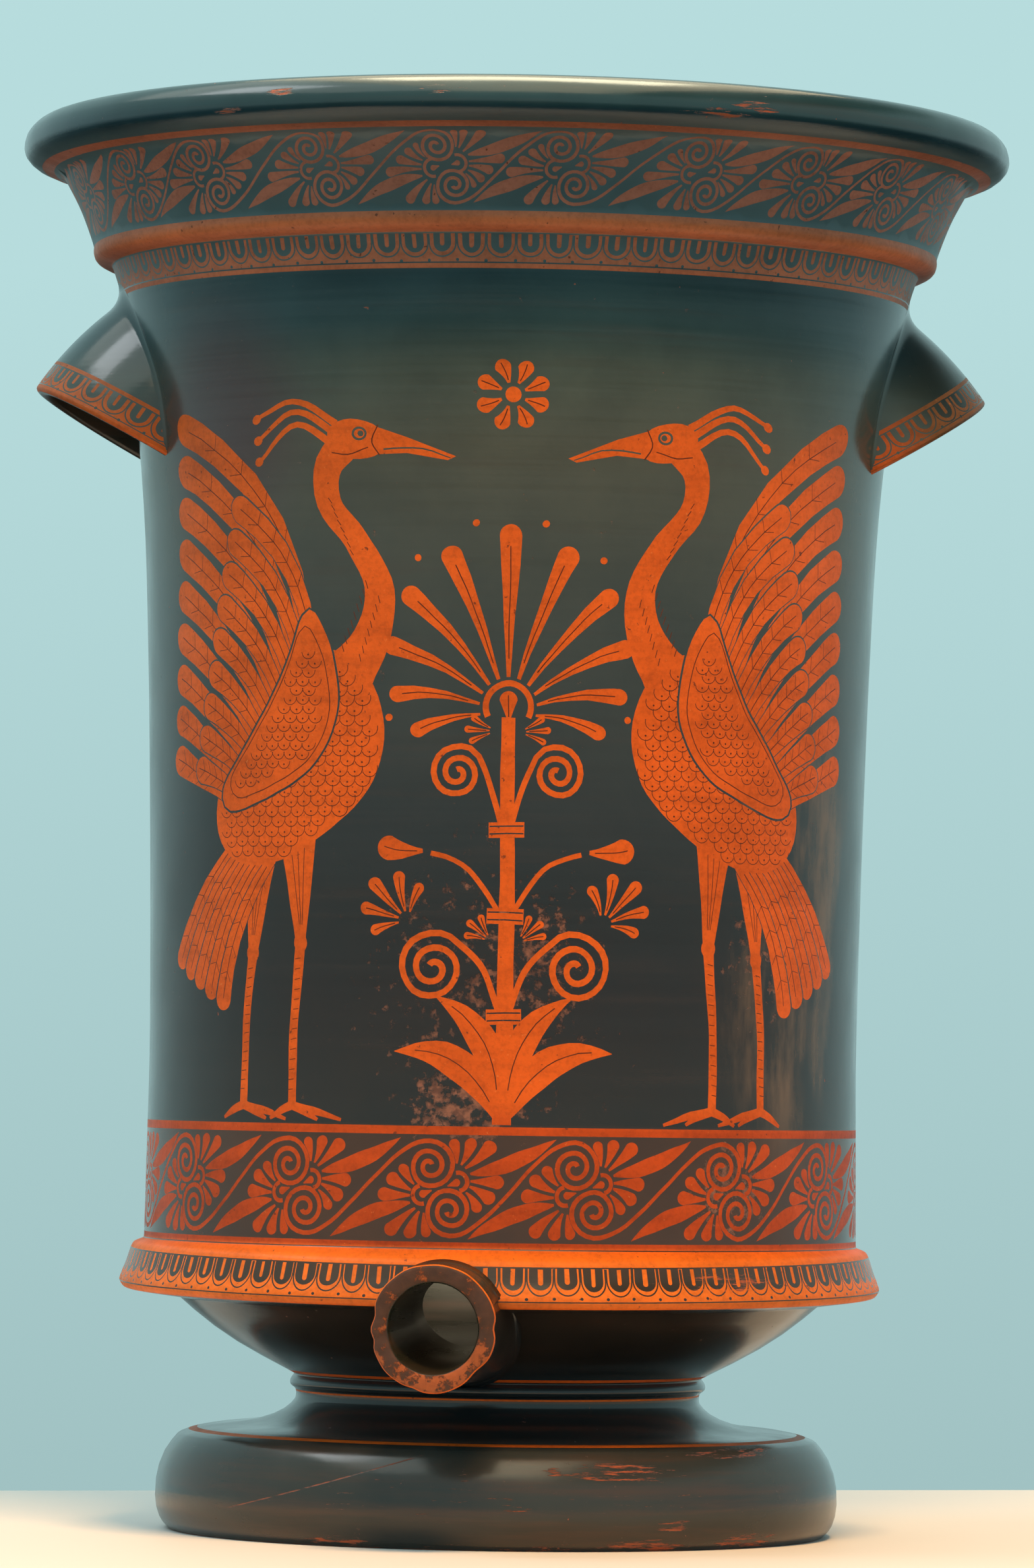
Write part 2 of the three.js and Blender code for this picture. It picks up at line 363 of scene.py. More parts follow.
class PalmetteBand:
    """Drawing of a running palmette band, in mm: two coils, a heart and the petals of its fan.

    Each pair of palmettes is drawn about its middle, and either half is the half turn of the other.
    """

    def __init__(self, eye, radius, brush, heart, heart_radius, dot, petals, leaf):
        self.eye, self.radius, self.brush = np.array(eye), radius, brush
        self.heart, self.heart_radius, self.dot = np.array(heart), heart_radius, dot
        self.petals, self.leaf = petals, leaf

    def scroll(self, pitch):
        """One brush line from the eye of the lower coil, along the tendril, into the next upper coil.

        The tendril is the Bezier cubic between the coils, pulled sideways at both ends.
        """
        upper = coil(self.eye, math.pi / 2, 2.15, self.radius)
        lower = -upper
        t = np.linspace(0, 1, 22)[1:-1, None]
        start, end = lower[0], upper[0] + [pitch, 0]
        pull = np.array([0.28 * pitch, 0])
        tendril = (1 - t) ** 3 * start + 3 * (1 - t) ** 2 * t * (start + pull)
        tendril += 3 * (1 - t) * t**2 * (end - pull) + t**3 * end
        thick = np.linspace(1.0, 1.05, len(upper))
        widths = np.concatenate([thick[::-1], 1 - 0.2 * np.sin(math.pi * t[:, 0]), thick])
        return stroke(np.vstack([lower[::-1], tendril, upper + [pitch, 0]]), widths * self.brush)

    def pair(self, pitch):
        """Outlines of one pair, with the scroll on to the next."""
        ring = self.heart + self.heart_radius * ray(np.radians(np.linspace(105, -78, 15)))
        half = [stroke(ring, self.brush * 0.92), petal(*self.dot), petal(*self.leaf, -0.05, True)]
        half += [petal(*shape) for shape in self.petals]
        return [self.scroll(pitch), *half, *[-shape for shape in half]]


BASE_PALMETTES = PalmetteBand(
    eye=(-3.66, 8.05), radius=9.1, brush=0.84, heart=(6.65, 2.2), heart_radius=3.3,
    dot=((2.9, 0.8), (7.4, 2.35), 2.9),
    petals=[((5.9, 8.7), (4.2, 17.6), 3.8, -0.06), ((7.5, 8.2), (11.2, 18.0), 4.6, -0.05),
            ((9.0, 7.1), (19.3, 16.8), 5.0, -0.04), ((11.0, 2.6), (23.0, 2.3), 5.0, 0.02),
            ((10.7, 0.7), (19.4, -4.5), 4.9, 0.05), ((9.5, -1.5), (14.1, -8.4), 4.0, 0.08)],
    leaf=((10.9, 5.2), (41.6, 17.9), 5.4),
)
NECK_PALMETTES = PalmetteBand(
    eye=(-3.0, 7.3), radius=6.75, brush=0.6, heart=(4.5, 0.9), heart_radius=3.2,
    dot=((2.3, 0.3), (5.5, 1.3), 2.1),
    petals=[((4.3, 7.0), (3.5, 14.1), 2.6, -0.05), ((5.4, 6.6), (7.6, 14.3), 3.1, -0.05),
            ((6.9, 5.2), (14.4, 13.9), 3.6, -0.04), ((8.7, 1.4), (21.9, 2.8), 3.7, -0.02),
            ((8.6, -0.2), (17.6, -2.5), 3.5, 0.03), ((8.1, -1.8), (13.9, -6.3), 3.0, 0.06),
            ((7.2, -3.0), (10.4, -8.4), 2.1, 0.08)],
    leaf=((8.6, 3.9), (34.2, 13.9), 4.2),
)


class TongueBand:
    """Drawing of a tongue band, in mm below its upper line.

    Each unit is a dark tongue with a light bar, a thin loop round it and a dot at the joint of two loops.
    """

    def __init__(self, half_width, depth, bar, bar_depth, loop_depth, dot_depth):
        self.half_width, self.depth, self.bar, self.bar_depth = half_width, depth, bar, bar_depth
        self.loop_depth, self.dot_depth = loop_depth, dot_depth

    def unit(self, pitch, rng):
        """Outlines of one tongue, its size a little uneven, in painter's order."""
        wide = self.half_width * rng.uniform(0.95, 1.05)
        straight = self.depth * rng.uniform(0.96, 1.04) - wide
        curve = ray(np.linspace(0, -math.pi, 15))
        body = np.vstack([[wide, 0.3], curve * wide - [0, straight], [-wide, 0.3]])
        bar = self.bar * rng.uniform(0.85, 1.15)
        bar_end = self.bar_depth * rng.uniform(0.9, 1.1)
        light = np.vstack([[bar, -0.15], curve[::2] * bar - [0, bar_end], [-bar, -0.15]])
        side = 0.475 * pitch
        loop = curve * [side, self.loop_depth - straight] - [0, straight]
        line = stroke(np.vstack([[side, 0], loop, [-side, 0]]), 0.27)
        dot = ellipse((pitch / 2, -self.dot_depth), (0.62, 0.6), 0, 10)
        return [(line, GLOSS), (body, GLOSS), (light, CLAY), (dot, GLOSS)]


COLLAR_TONGUES = TongueBand(half_width=3.4, depth=6.9, bar=0.8, bar_depth=4.2, loop_depth=8.5, dot_depth=9.75)
LEDGE_TONGUES = TongueBand(half_width=3.9, depth=8.3, bar=0.8, bar_depth=5.6, loop_depth=10.3, dot_depth=11.4)
HANDLE_TONGUES = TongueBand(half_width=3.5, depth=6.4, bar=0.75, bar_depth=3.8, loop_depth=8.0, dot_depth=8.5)


def feather(base, tip, width, bend):
    """One feather with a dark edge, a quill and a few barbs, in painter's order."""
    length = np.linalg.norm(tip - base)
    along = (tip - base) / length
    across = np.array([-along[1], along[0]])
    t = np.linspace(0.06, 0.93, 12)
    middle = base + np.outer(t * length, along) + np.outer(bend * length * 4 * t * (1 - t), across)
    shapes = [(petal(base, tip + along * 0.5, width + 1.1, bend, stalk=0.5), GLOSS),
              (petal(base, tip, width, bend, stalk=0.5), CLAY), (stroke(middle, 0.19), THIN)]
    for place in middle[3:11:2]:
        for side in (-1, 1):
            barb = place + np.outer([0, 0.5, 1], along * 0.3 * width + across * side * 0.38 * width)
            shapes.append((stroke(barb, 0.13), THIN))
    return shapes


def feather_row(count, *rows):
    """Overlapping feathers: bases, tips, widths and bends are carried evenly from far end to near end."""
    rows = [np.array(row, float) for row in rows]
    shapes = []
    for share in np.linspace(0, 1, count):
        shapes += feather(*[far * (1 - share) + near * share for far, near in rows])
    return shapes


def scales(region, size, turn):
    """Rows of small arcs over a region, each with a dot: the scale pattern of breast and shoulder."""
    low, high = region.min(axis=0), region.max(axis=0)
    across = np.arange(low[0], high[0], 1.9 * size)
    down = np.arange(low[1], high[1], 1.15 * size)
    curve = size * ray(np.linspace(-math.pi * 0.98, -math.pi * 0.02, 8) + turn)
    probe = np.vstack([[0, 0], 1.25 * curve[::7], [0, -1.5 * size]])
    shapes = []
    for row, y in enumerate(down):
        for x in across + (row % 2) * 0.95 * size:
            if within(region, probe + [x, y]).all():
                shapes.append((stroke(curve + [x, y], 0.16), THIN))
                shapes.append((ellipse((x, y - 0.45 * size), (0.42, 0.42), 0, 6), THIN))
    return shapes


def ticks(start, end, count, length, turn):
    """Short strokes, evenly spaced along a line."""
    way = 0.5 * length * ray(turn)
    places = np.linspace(start, end, count)
    return [(stroke([place - way, place, place + way], 0.16), THIN) for place in places]


def crane_leg(hip, knee, heel):
    """A leg with its feathered thigh, ringed shank and toes."""
    hip, knee, heel = (np.array(point, float) for point in (hip, knee, heel))
    thigh, shank = (hip + knee) / 2, (knee + heel) / 2 - [1.5, 0]
    light = [bend_line([hip, thigh, knee], [9.5, 5.6, 2.3], 12),
             bend_line([knee, shank, heel], [2.4, 1.9, 1.9], 12), ellipse(knee, (3.1, 3.7))]
    for toe in (22, 12, -11):
        path = [heel, heel + [toe * 0.5, 4 - heel[1]], (heel[0] + toe, 0.8)]
        light.append(bend_line(path, [1.7, 1.5, 0.6], 8))
    shapes = [(shape, CLAY) for shape in light]
    shapes += ticks(knee - [1.2, 6], heel + [-1.0, 6], 14, 2.6, 0.15)
    for shift in (-3.2, 0.0, 3.2):
        line = [hip + [shift, -8], thigh + [shift * 0.6, 0], knee + [shift * 0.2, 7]]
        shapes.append((stroke(line, 0.15), THIN))
    return shapes


def crane():
    """A standing crane that looks towards +x, in mm above the ground line, its wing swept up and back."""
    shapes = crane_leg((6, 114), (8, 68), (5, 6)) + crane_leg((-12, 106), (-16, 64), (-20, 6))
    shapes += feather_row(5, [(-26, 106), (-6, 100)], [(-66, 58), (-34, 42)], [9, 9], [-0.05, -0.08])
    body = smooth_shape([(34, 172), (43, 152), (39, 130), (22, 112), (0, 100), (-22, 98), (-36, 108),
                         (-36, 126), (-20, 148), (0, 168), (16, 180)])
    neck = bend_line([(20, 160), (37, 182), (41, 202), (32, 220), (21, 234), (20, 248), (28, 258)],
                     [15, 9, 6.5, 5.2, 4.8, 5.2, 6.5], 32)
    head = ellipse((32, 259), (12, 7.6), -0.18, 24)
    beak = np.array([(40, 263.5), (52, 259.5), (70, 252), (67, 250.6), (52, 253.6), (41, 253)])
    for rise, droop in ((274, 271), (270, 263), (265, 255)):
        plume = bend_line([(24, rise - 9), (7, rise), (-10, droop - 3)], [1.5, 1.1, 0.7], 12)
        shapes += [(plume, CLAY), (ellipse((-11, droop - 3.6), (2.3, 1.7), 0.5, 10), CLAY)]
    shapes += [(shape, CLAY) for shape in (body, neck, head, beak)]
    shapes += scales(body - [0, 1], 3.3, 0.35)
    shapes += ticks((26, 180), (36, 204), 9, 3.4, 1.9) + ticks((33, 176), (41, 198), 8, 3.0, 1.8)
    shapes += ticks((30, 216), (21, 236), 8, 2.6, 2.2)
    shapes += feather_row(9, [(-30, 124), (10, 186)], [(-70, 140), (-60, 268)], [12, 13], [-0.02, -0.16])
    shapes += feather_row(9, [(-26, 126), (12, 184)], [(-52, 136), (-26, 236)], [10.5, 10.5], [-0.02, -0.13])
    shoulder = smooth_shape([(22, 178), (24, 156), (14, 136), (-6, 124), (-28, 118), (-34, 126), (-22, 142),
                             (-8, 160), (2, 178), (8, 192), (14, 194)])
    inset = shoulder.mean(axis=0) + (shoulder - shoulder.mean(axis=0)) * 0.84
    shapes += [(shoulder, CLAY), (ring_stroke(shoulder, 0.42), GLOSS), (ring_stroke(inset, 0.2), THIN)]
    shapes += scales(inset, 3.0, 0.0)
    return shapes + [
        (bend_line([(43, 254.8), (56, 255.4), (68, 251.4)], [0.3, 0.3, 0.2], 8), GLOSS),
        (bend_line([(41, 264), (38.5, 258), (41.5, 252.6)], [0.25, 0.25, 0.25], 8), THIN),
        (bend_line([(22, 254), (29, 253.4), (37, 255.6)], [0.2, 0.25, 0.2], 8), THIN),
        (ellipse((33.5, 261), (3.0, 2.7)), GLOSS),
        (ellipse((33.5, 261), (2.1, 1.8)), CLAY),
        (ellipse((34, 261), (1.2, 1.2), 0, 10), GLOSS),
    ]


def scroll_tree():
    """A scroll tree in mm above the ground line: leaves, a stem with coils, and a palmette on top."""
    upright = math.pi / 2
    shapes = [(bend_line([(0, 0), (0.6, 70), (0, 146)], [3.4, 2.8, 2.4], 16), CLAY)]
    for side in (-1, 1):
        flip = np.array([side, 1])
        shapes += ribbed(flip * (2, 2), flip * (40, 26), 11, side * 0.2, True)
        shapes += ribbed(flip * (2, 6), flip * (25, 46), 10, side * 0.16, True)
        for branch, eye, turns, radius, count, brush in (
            ([(1, 38), (8, 56), (18, 66)], (26, 56), 2.2, 13, 48, 1.15),
            ([(1, 104), (6, 122), (11, 134)], (18, 126), 2.1, 10, 40, 1.05),
        ):
            scroll = coil(flip * eye, upright + side * 0.5, turns, radius, side, count)
            shapes.append((stroke(np.vstack([bend_path(flip * branch, 14)[:-1], scroll]), brush), CLAY))
        shapes.append((stroke(bend_path(flip * [(1, 74), (14, 92), (30, 98)], 14)[:-1], 0.9), CLAY))
        shapes += ribbed(flip * (30, 98), flip * (47, 100), 9, side * -0.05)
        for heart, ring, lengths, widths, turn, spread in (
            ((36, 73), 3, [11, 15, 17, 15, 11], [4, 4.6, 5, 4.6, 4], 0.75, 1.15),
            ((5, 66), 2, [8, 9, 8], [2.6, 2.8, 2.6], 0.9, 0.5),
            ((4.5, 141), 2, [8, 9, 8], [2.4, 2.6, 2.4], 1.5, 0.5),
        ):
            shapes += fan(flip * heart, ring, lengths, widths, upright - side * turn, spread)
    for height in (36, 72, 103):
        band = [(-6.5, height), (6.5, height), (6.5, height + 5.5), (-6.5, height + 5.5)]
        shapes.append((np.array(band), CLAY))
        for line in (height + 1.4, height + 4.1):
            shapes.append((stroke([(-6.2, line), (0, line), (6.2, line)], 0.25), GLOSS))
    heart = np.array([0, 150])
    arc = np.radians(np.linspace(-28, 208, 22))
    shapes.append((stroke(heart + 8.2 * ray(arc), 1.1), CLAY))
    shapes += ribbed(heart + [0, -5], heart + [0, 5.4], 6.4)
    lengths = np.array([26, 33, 40, 46, 51, 55, 51, 46, 40, 33, 26])
    widths = np.array([5.4, 6, 6.6, 7.2, 7.8, 8.2, 7.8, 7.2, 6.6, 6, 5.4])
    shapes += fan(heart, 10.4, lengths, widths, upright, 1.85)
    for angle, reach in zip(upright + np.linspace(-1.665, 1.665, 10), (lengths[1:] + lengths[:-1]) / 2 + 14):
        shapes.append((ellipse(heart + reach * ray(angle), (1.3, 1.3), 0, 12), CLAY))
    return shapes


def rosette(centre, radius):
    """A dotted rosette of eight petals round an eye."""
    lengths, widths = [radius * 0.66] * 8, [radius * 0.44] * 8
    shapes = fan(np.asarray(centre, float), radius * 0.34, lengths, widths, 0, math.pi * 7 / 8)
    return [*shapes, (ellipse(centre, (radius * 0.22, radius * 0.22)), CLAY)]


def hand(outline):
    """A painter's slight unsteadiness: slow waves that close round the vessel, under 0.3 mm."""
    turn, height = outline[:, 0] / PLANE, outline[:, 1]
    sideways = 0.17 * np.sin(23 * turn + height / 9) + 0.1 * np.sin(61 * turn - height / 4)
    upwards = 0.15 * np.sin(31 * turn - height / 11) + 0.09 * np.sin(71 * turn + height / 5)
    return outline + np.column_stack([sideways, upwards])


def ornament_bands(section, counts):
    """Outlines of the palmette and tongue bands on the paint plane, all round and a little past the seam."""
    rng = np.random.default_rng(11)
    painted = []
    for band, count, start, low, high, radius in (
        (BASE_PALMETTES, counts.base_palmettes, 0.583, BASE_LOW, BASE_HIGH, 132.9),
        (NECK_PALMETTES, counts.neck_palmettes, 0.428, NECK_LOW, NECK_HIGH, 165.0),
    ):
        middle = (section.find(*low) + section.find(*high)) / 2
        number = np.arange(-(count // 2) - 2, count // 2 + 4)
        slip = -0.04 * np.cos(2.2 * ((number + count // 2) % count - count // 2))
        places = (number + start + slip) * 2 * math.pi / count
        for place, gap in zip(places, np.diff(places)):
            for shape in band.pair(gap * radius):
                painted.append((hand(shape * [PLANE / radius, 1] + [place * PLANE, middle]), CLAY))
    for band, count, top, radius in (
        (COLLAR_TONGUES, counts.collar_tongues, section.find(*COLLAR_LOW), 149.5),
        (LEDGE_TONGUES, counts.ledge_tongues, section.find(*LEDGE_TOP), 140.2),
    ):
        pitch = 2 * math.pi / count
        units = [band.unit(pitch * radius, rng) for _ in range(count)]
        for number in range(-1, count + 1):
            for shape, finish in units[number % count]:
                flat = shape * [PLANE / radius, 1] + [((number + 0.5) * pitch - math.pi) * PLANE, top]
                painted.append((hand(flat), finish))
    return painted


def scenes(section):
    """Outlines of the main zone: two cranes at a scroll tree in front, and a tree alone behind."""
    ground = section.find(*GROUND)
    stretch = PLANE / SCENE_RADIUS
    painted = []
    for side in (-1, 1):
        for shape, finish in crane():
            flat = (shape * CRANE_SIZE * [-side, 1] + [side * CRANE_SIDE, 0]) * [stretch, 1] + [0, ground]
            painted.append((hand(flat), finish))
    for middle in (0, -math.pi, math.pi):
        for shape, finish in [*scroll_tree(), *rosette((0, 262), 13)]:
            painted.append((hand(shape * [stretch, 1] + [middle * PLANE, ground]), finish))
    return painted


def within(outline, points):
    """True for points in a closed outline: a ray to the right crosses its edges an odd number of times."""
    x, y = points[:, :1], points[:, 1:]
    (x0, y0), (x1, y1) = outline.T, np.roll(outline, -1, axis=0).T
    spans = (y0 > y) != (y1 > y)
    crossing = x0 + (y - y0) * (x1 - x0) / np.where(y1 == y0, 1, y1 - y0)
    return (np.sum(spans & (x < crossing), axis=1) % 2).astype(bool)


def clipped(outline, limit, side):
    """The part of a closed outline below (side 1) or above (side -1) an upright limit.

    Each edge that crosses the limit is cut at share = (limit - x) / (next x - x) of its length.
    """
    ahead = np.roll(outline, -1, axis=0)
    kept = side * (limit - outline[:, 0]) > 0
    crosses = kept != np.roll(kept, -1)
    run = np.where(crosses, ahead[:, 0] - outline[:, 0], 1)
    share = (limit - outline[:, 0]) / run
    cut = outline + (ahead - outline) * share[:, None]
    cut[:, 0] = limit
    return np.stack([outline, cut], axis=1).reshape(-1, 2)[np.column_stack([kept, crosses]).ravel()]


def cut_plane(columns, rows, borders, outlines, holes, base):
    """Cuts a flat paint plane into triangles along its grid borders and painted outlines.

    Returns the corners, the triangles and the finish of each: that of the last outline round its middle, or
    of the base band where there is none. Triangles in a hole or off the plane are left out.
    """
    left, right = columns[0], columns[-1]
    outlines = [(clipped(clipped(shape, left, -1), right, 1), colour) for shape, colour in outlines]
    outlines = [(shape, colour) for shape, colour in outlines if len(shape) > 2]
    grid = np.stack(np.meshgrid(columns, rows, indexing="ij"), axis=-1)
    number = np.arange(grid[..., 0].size).reshape(grid.shape[:2])
    points = [grid.reshape(-1, 2)]
    edges = [np.column_stack([number[i, :-1], number[i, 1:]]) for i in (0, -1)]
    for row in {0, len(rows) - 1, *np.searchsorted(rows, np.asarray(borders) - 1e-6)}:
        edges.append(np.column_stack([number[:-1, row], number[1:, row]]))
    count = number.size
    for outline in [shape for shape, _ in outlines] + holes:
        ring = count + np.arange(len(outline))
        points.append(outline)
        edges.append(np.column_stack([ring, np.roll(ring, -1)]))
        count += len(outline)
    flat = [Vector(point) for point in np.vstack(points).tolist()]
    corner, _, triangle, *_ = delaunay_2d_cdt(flat, np.vstack(edges).tolist(), [], 0, 1e-3)
    corner = np.round(np.array([point[:] for point in corner]), 4)
    triangle = np.array(triangle)
    middle = corner[triangle].mean(axis=1)
    low, high = np.array([left, rows[0]]), np.array([right, rows[-1]])
    keep = (np.abs(middle - (low + high) / 2) < (high - low) / 2).all(axis=1)
    for hole in holes:
        keep &= ~within(hole, middle)
    triangle, middle = triangle[keep], middle[keep]
    finish = base(middle)
    order = np.argsort(middle[:, 0])
    ranked = middle[order, 0]
    for outline, colour in outlines:
        low, high = outline.min(axis=0), outline.max(axis=0)
        near = order[slice(*np.searchsorted(ranked, [low[0], high[0]]))]
        near = near[(middle[near, 1] > low[1]) & (middle[near, 1] < high[1])]
        finish[near[within(outline, middle[near])]] = colour
    return corner, triangle, finish


def close_seam(corner):
    """Moves the points on a plane's right border onto those on its left border, which is the same line."""
    low, high = corner[:, 0].min(), corner[:, 0].max()
    left, right = (np.flatnonzero(np.abs(corner[:, 0] - border) < 0.01) for border in (low, high))
    near = np.argmin(np.abs(corner[right, 1][:, None] - corner[left, 1]), axis=1)
    corner[left, 0] = low
    corner[right] = corner[left[near]]
    return corner


def grid_faces(across, along, wrap_across=False, wrap_along=False):
    """Triangles of a grid of across by along points, joined round where it wraps."""
    number = np.arange(across * along).reshape(across, along)
    if wrap_across:
        number = np.vstack([number, number[:1]])
    if wrap_along:
        number = np.hstack([number, number[:, :1]])
    a, b, c, d = number[:-1, :-1], number[1:, :-1], number[1:, 1:], number[:-1, 1:]
    return np.vstack([np.stack([a, b, c], -1).reshape(-1, 3), np.stack([a, c, d], -1).reshape(-1, 3)])


def grid_normals(grid, wrap_across=False, wrap_along=False):
    """Unit normals of a grid of points: its slope across times its slope along."""
    slopes = []
    for axis, wrap in ((0, wrap_across), (1, wrap_along)):
        if wrap:
            slopes.append(np.roll(grid, -1, axis) - np.roll(grid, 1, axis))
        else:
            slopes.append(np.gradient(grid, axis=axis))
    normal = np.cross(*slopes)
    return normal / np.maximum(np.linalg.norm(normal, axis=-1, keepdims=True), 1e-12)


def grid_shell(grid, normal, faces, finish):
    """A grid of points as a shell of places, normals, triangles and finishes."""
    return grid.reshape(-1, 3), normal.reshape(-1, 3), faces, finish


def joined(shells):
    """Stacks shells into one."""
    starts = np.cumsum([0] + [len(shell[0]) for shell in shells[:-1]])
    triangle = np.vstack([shell[2] + start for shell, start in zip(shells, starts)])
    place, normal = (np.vstack([shell[part] for shell in shells]) for part in (0, 1))
    return place, normal, triangle, np.concatenate([shell[3] for shell in shells])


def weld(shells):
    """Joins shells into one, with one point at each place."""
    place, normal, triangle, finish = joined(shells)
    rounded = np.round(place / 1e-4).astype(np.int64)
    _, first, name = np.unique(rounded, axis=0, return_index=True, return_inverse=True)
    triangle = name.reshape(-1)[triangle]
    a, b, c = triangle.T
    whole = (a != b) & (b != c) & (c != a)
    return place[first], normal[first], triangle[whole], finish[whole]


def put_piece(name, shell, close):
    """Makes the mesh object of a shell in mm. close fills or bridges the rings of edges left open."""
    place, normal, triangle, finish = shell
    mesh = bpy.data.meshes.new(name)
    mesh.vertices.add(len(place))
    mesh.vertices.foreach_set("co", (place * MM).ravel())
    mesh.loops.add(triangle.size)
    mesh.loops.foreach_set("vertex_index", triangle.ravel())
    mesh.polygons.add(len(triangle))
    mesh.polygons.foreach_set("loop_start", np.arange(0, triangle.size, 3))
    mesh.polygons.foreach_set("material_index", finish)
    mesh.update(calc_edges=True)
    shape = bmesh.new()
    shape.from_mesh(mesh)
    edges = [edge for edge in shape.edges if edge.is_boundary]
    if edges:
        close(shape, edges)
    bmesh.ops.triangulate(shape, faces=[face for face in shape.faces if len(face.verts) > 3])
    loose = sum(not edge.is_manifold for edge in shape.edges)
    if loose:
        raise RuntimeError(f"{name} has {loose} open or odd edges")
    shape.to_mesh(mesh)
    shape.free()
    mesh.shade_smooth()
    mesh.normals_split_custom_set_from_vertices(normal)
    piece = bpy.data.objects.new(name, mesh)
    bpy.context.collection.objects.link(piece)
    for finish_name in FINISH_NAMES:
        mesh.materials.append(finishes()[finish_name])
    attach(piece, "root")
    return piece


def bridge_rings(shape, edges):
    """Joins the two open rings of the spout's hole by a tunnel through the wall."""
    bmesh.ops.bridge_loops(shape, edges=edges)


def fill_rings(shape, edges):
    """Closes each open ring with a cap."""
    bmesh.ops.holes_fill(shape, edges=edges, sides=0)


def around(r, z, angle):
    """Places at a radius, height and bearing in mm: bearing 0 is the front, and grows to the right."""
    return np.stack([r * np.sin(angle), -r * np.cos(angle), z + 0 * angle], axis=-1)


def spout_line(section, sizes, angle, radius, outside):
    """Where a level line of the spout's tube, at an angle round it, meets the vessel's outside or inside.

    The line runs at height z = axis + radius sin(angle) and sideways by radius cos(angle). It meets the
    vessel where the section's radius at that height is the hypotenuse of its reach and its sideways place.
    Inside, the axis lies higher by BORE_RISE. Returns the reach, the length along the section and the turn.
    """
    s = section.s
    if outside:
        span = (s >= section.find(75.9, 58.2)) & (s <= section.find(138.2, 105))
    else:
        span = s >= section.find(124.4, 122)
    order = np.argsort(section.z[span])
    z = sizes.spout_height / MM + (0 if outside else BORE_RISE) + radius * np.sin(angle)
    r, place = (np.interp(z, section.z[span][order], column[span][order]) for column in (section.r, s))
    side = radius * np.cos(angle)
    turn = np.arcsin(np.clip(side / np.maximum(r, 1e-6), -1, 1))
    return np.sqrt(np.maximum(r**2 - side**2, 0)), place, turn


def smooth_step(share):
    """A share held between 0 and 1 and eased at both ends: 3t^2 - 2t^3."""
    t = np.clip(share, 0, 1)
    return 3 * t**2 - 2 * t**3


def ledge_sag(section, place, turn):
    """How far the ledge sags at the front, in mm: the forward cosine times a smooth step at either border."""
    rise = smooth_step((place - section.find(112.1, 79.8)) / 22)
    fall = smooth_step((section.find(133.3, 108.4) - place) / 5.5)
    front = (np.cos(turn) + np.sqrt(np.cos(turn) ** 2 + 0.03)) / 2
    return LEDGE_SAG * front * rise * fall * (place < section.find(133, 120))


def build_vessel(sizes, counts):
    """The turned vessel: r(s) about its axis, cut along every painted outline, with the spout's tunnel."""
    section = vessel_section(sizes)
    starts = np.array([section.find(*border) for border, _ in BANDS])
    colours = np.array([finish for _, finish in BANDS])
    columns = np.linspace(-math.pi, math.pi, 105) * PLANE
    rows = section.rows([*starts, section.s[-1]], spacing=14.0, bend=16.0)
    angle = np.linspace(0, 2 * math.pi, 40, endpoint=False)
    tunnel = (sizes.spout_bore / MM + sizes.spout_radius / MM) / 2 - 0.6
    holes = []
    for outside, radius in ((True, tunnel), (False, BORE_END + 1.2)):
        _, place, turn = spout_line(section, sizes, angle, radius, outside)
        holes.append(np.column_stack([(turn - sizes.spout_turn) * PLANE, place]))
    corner, triangle, finish = cut_plane(
        columns, rows, starts, [*ornament_bands(section, counts), *scenes(section)], holes,
        lambda middle: colours[np.searchsorted(starts, middle[:, 1]) - 1],
    )
    corner = close_seam(corner)
    r, z, nr, nz = section.at(corner[:, 1])
    turn = corner[:, 0] / PLANE
    z = z - ledge_sag(section, corner[:, 1], turn)
    shell = weld([(around(r, z, turn), around(nr, nz, turn), triangle, finish)])
    piece = put_piece("vessel", shell, bridge_rings)
    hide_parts("krater")
    return piece


def halved(low, high, beyond):
    """Where a rising test first holds between two limits, by halving the range forty times."""
    for _ in range(40):
        middle = (low + high) / 2
        past = beyond(middle)
        low, high = np.where(past, low, middle), np.where(past, middle, high)
    return (low + high) / 2


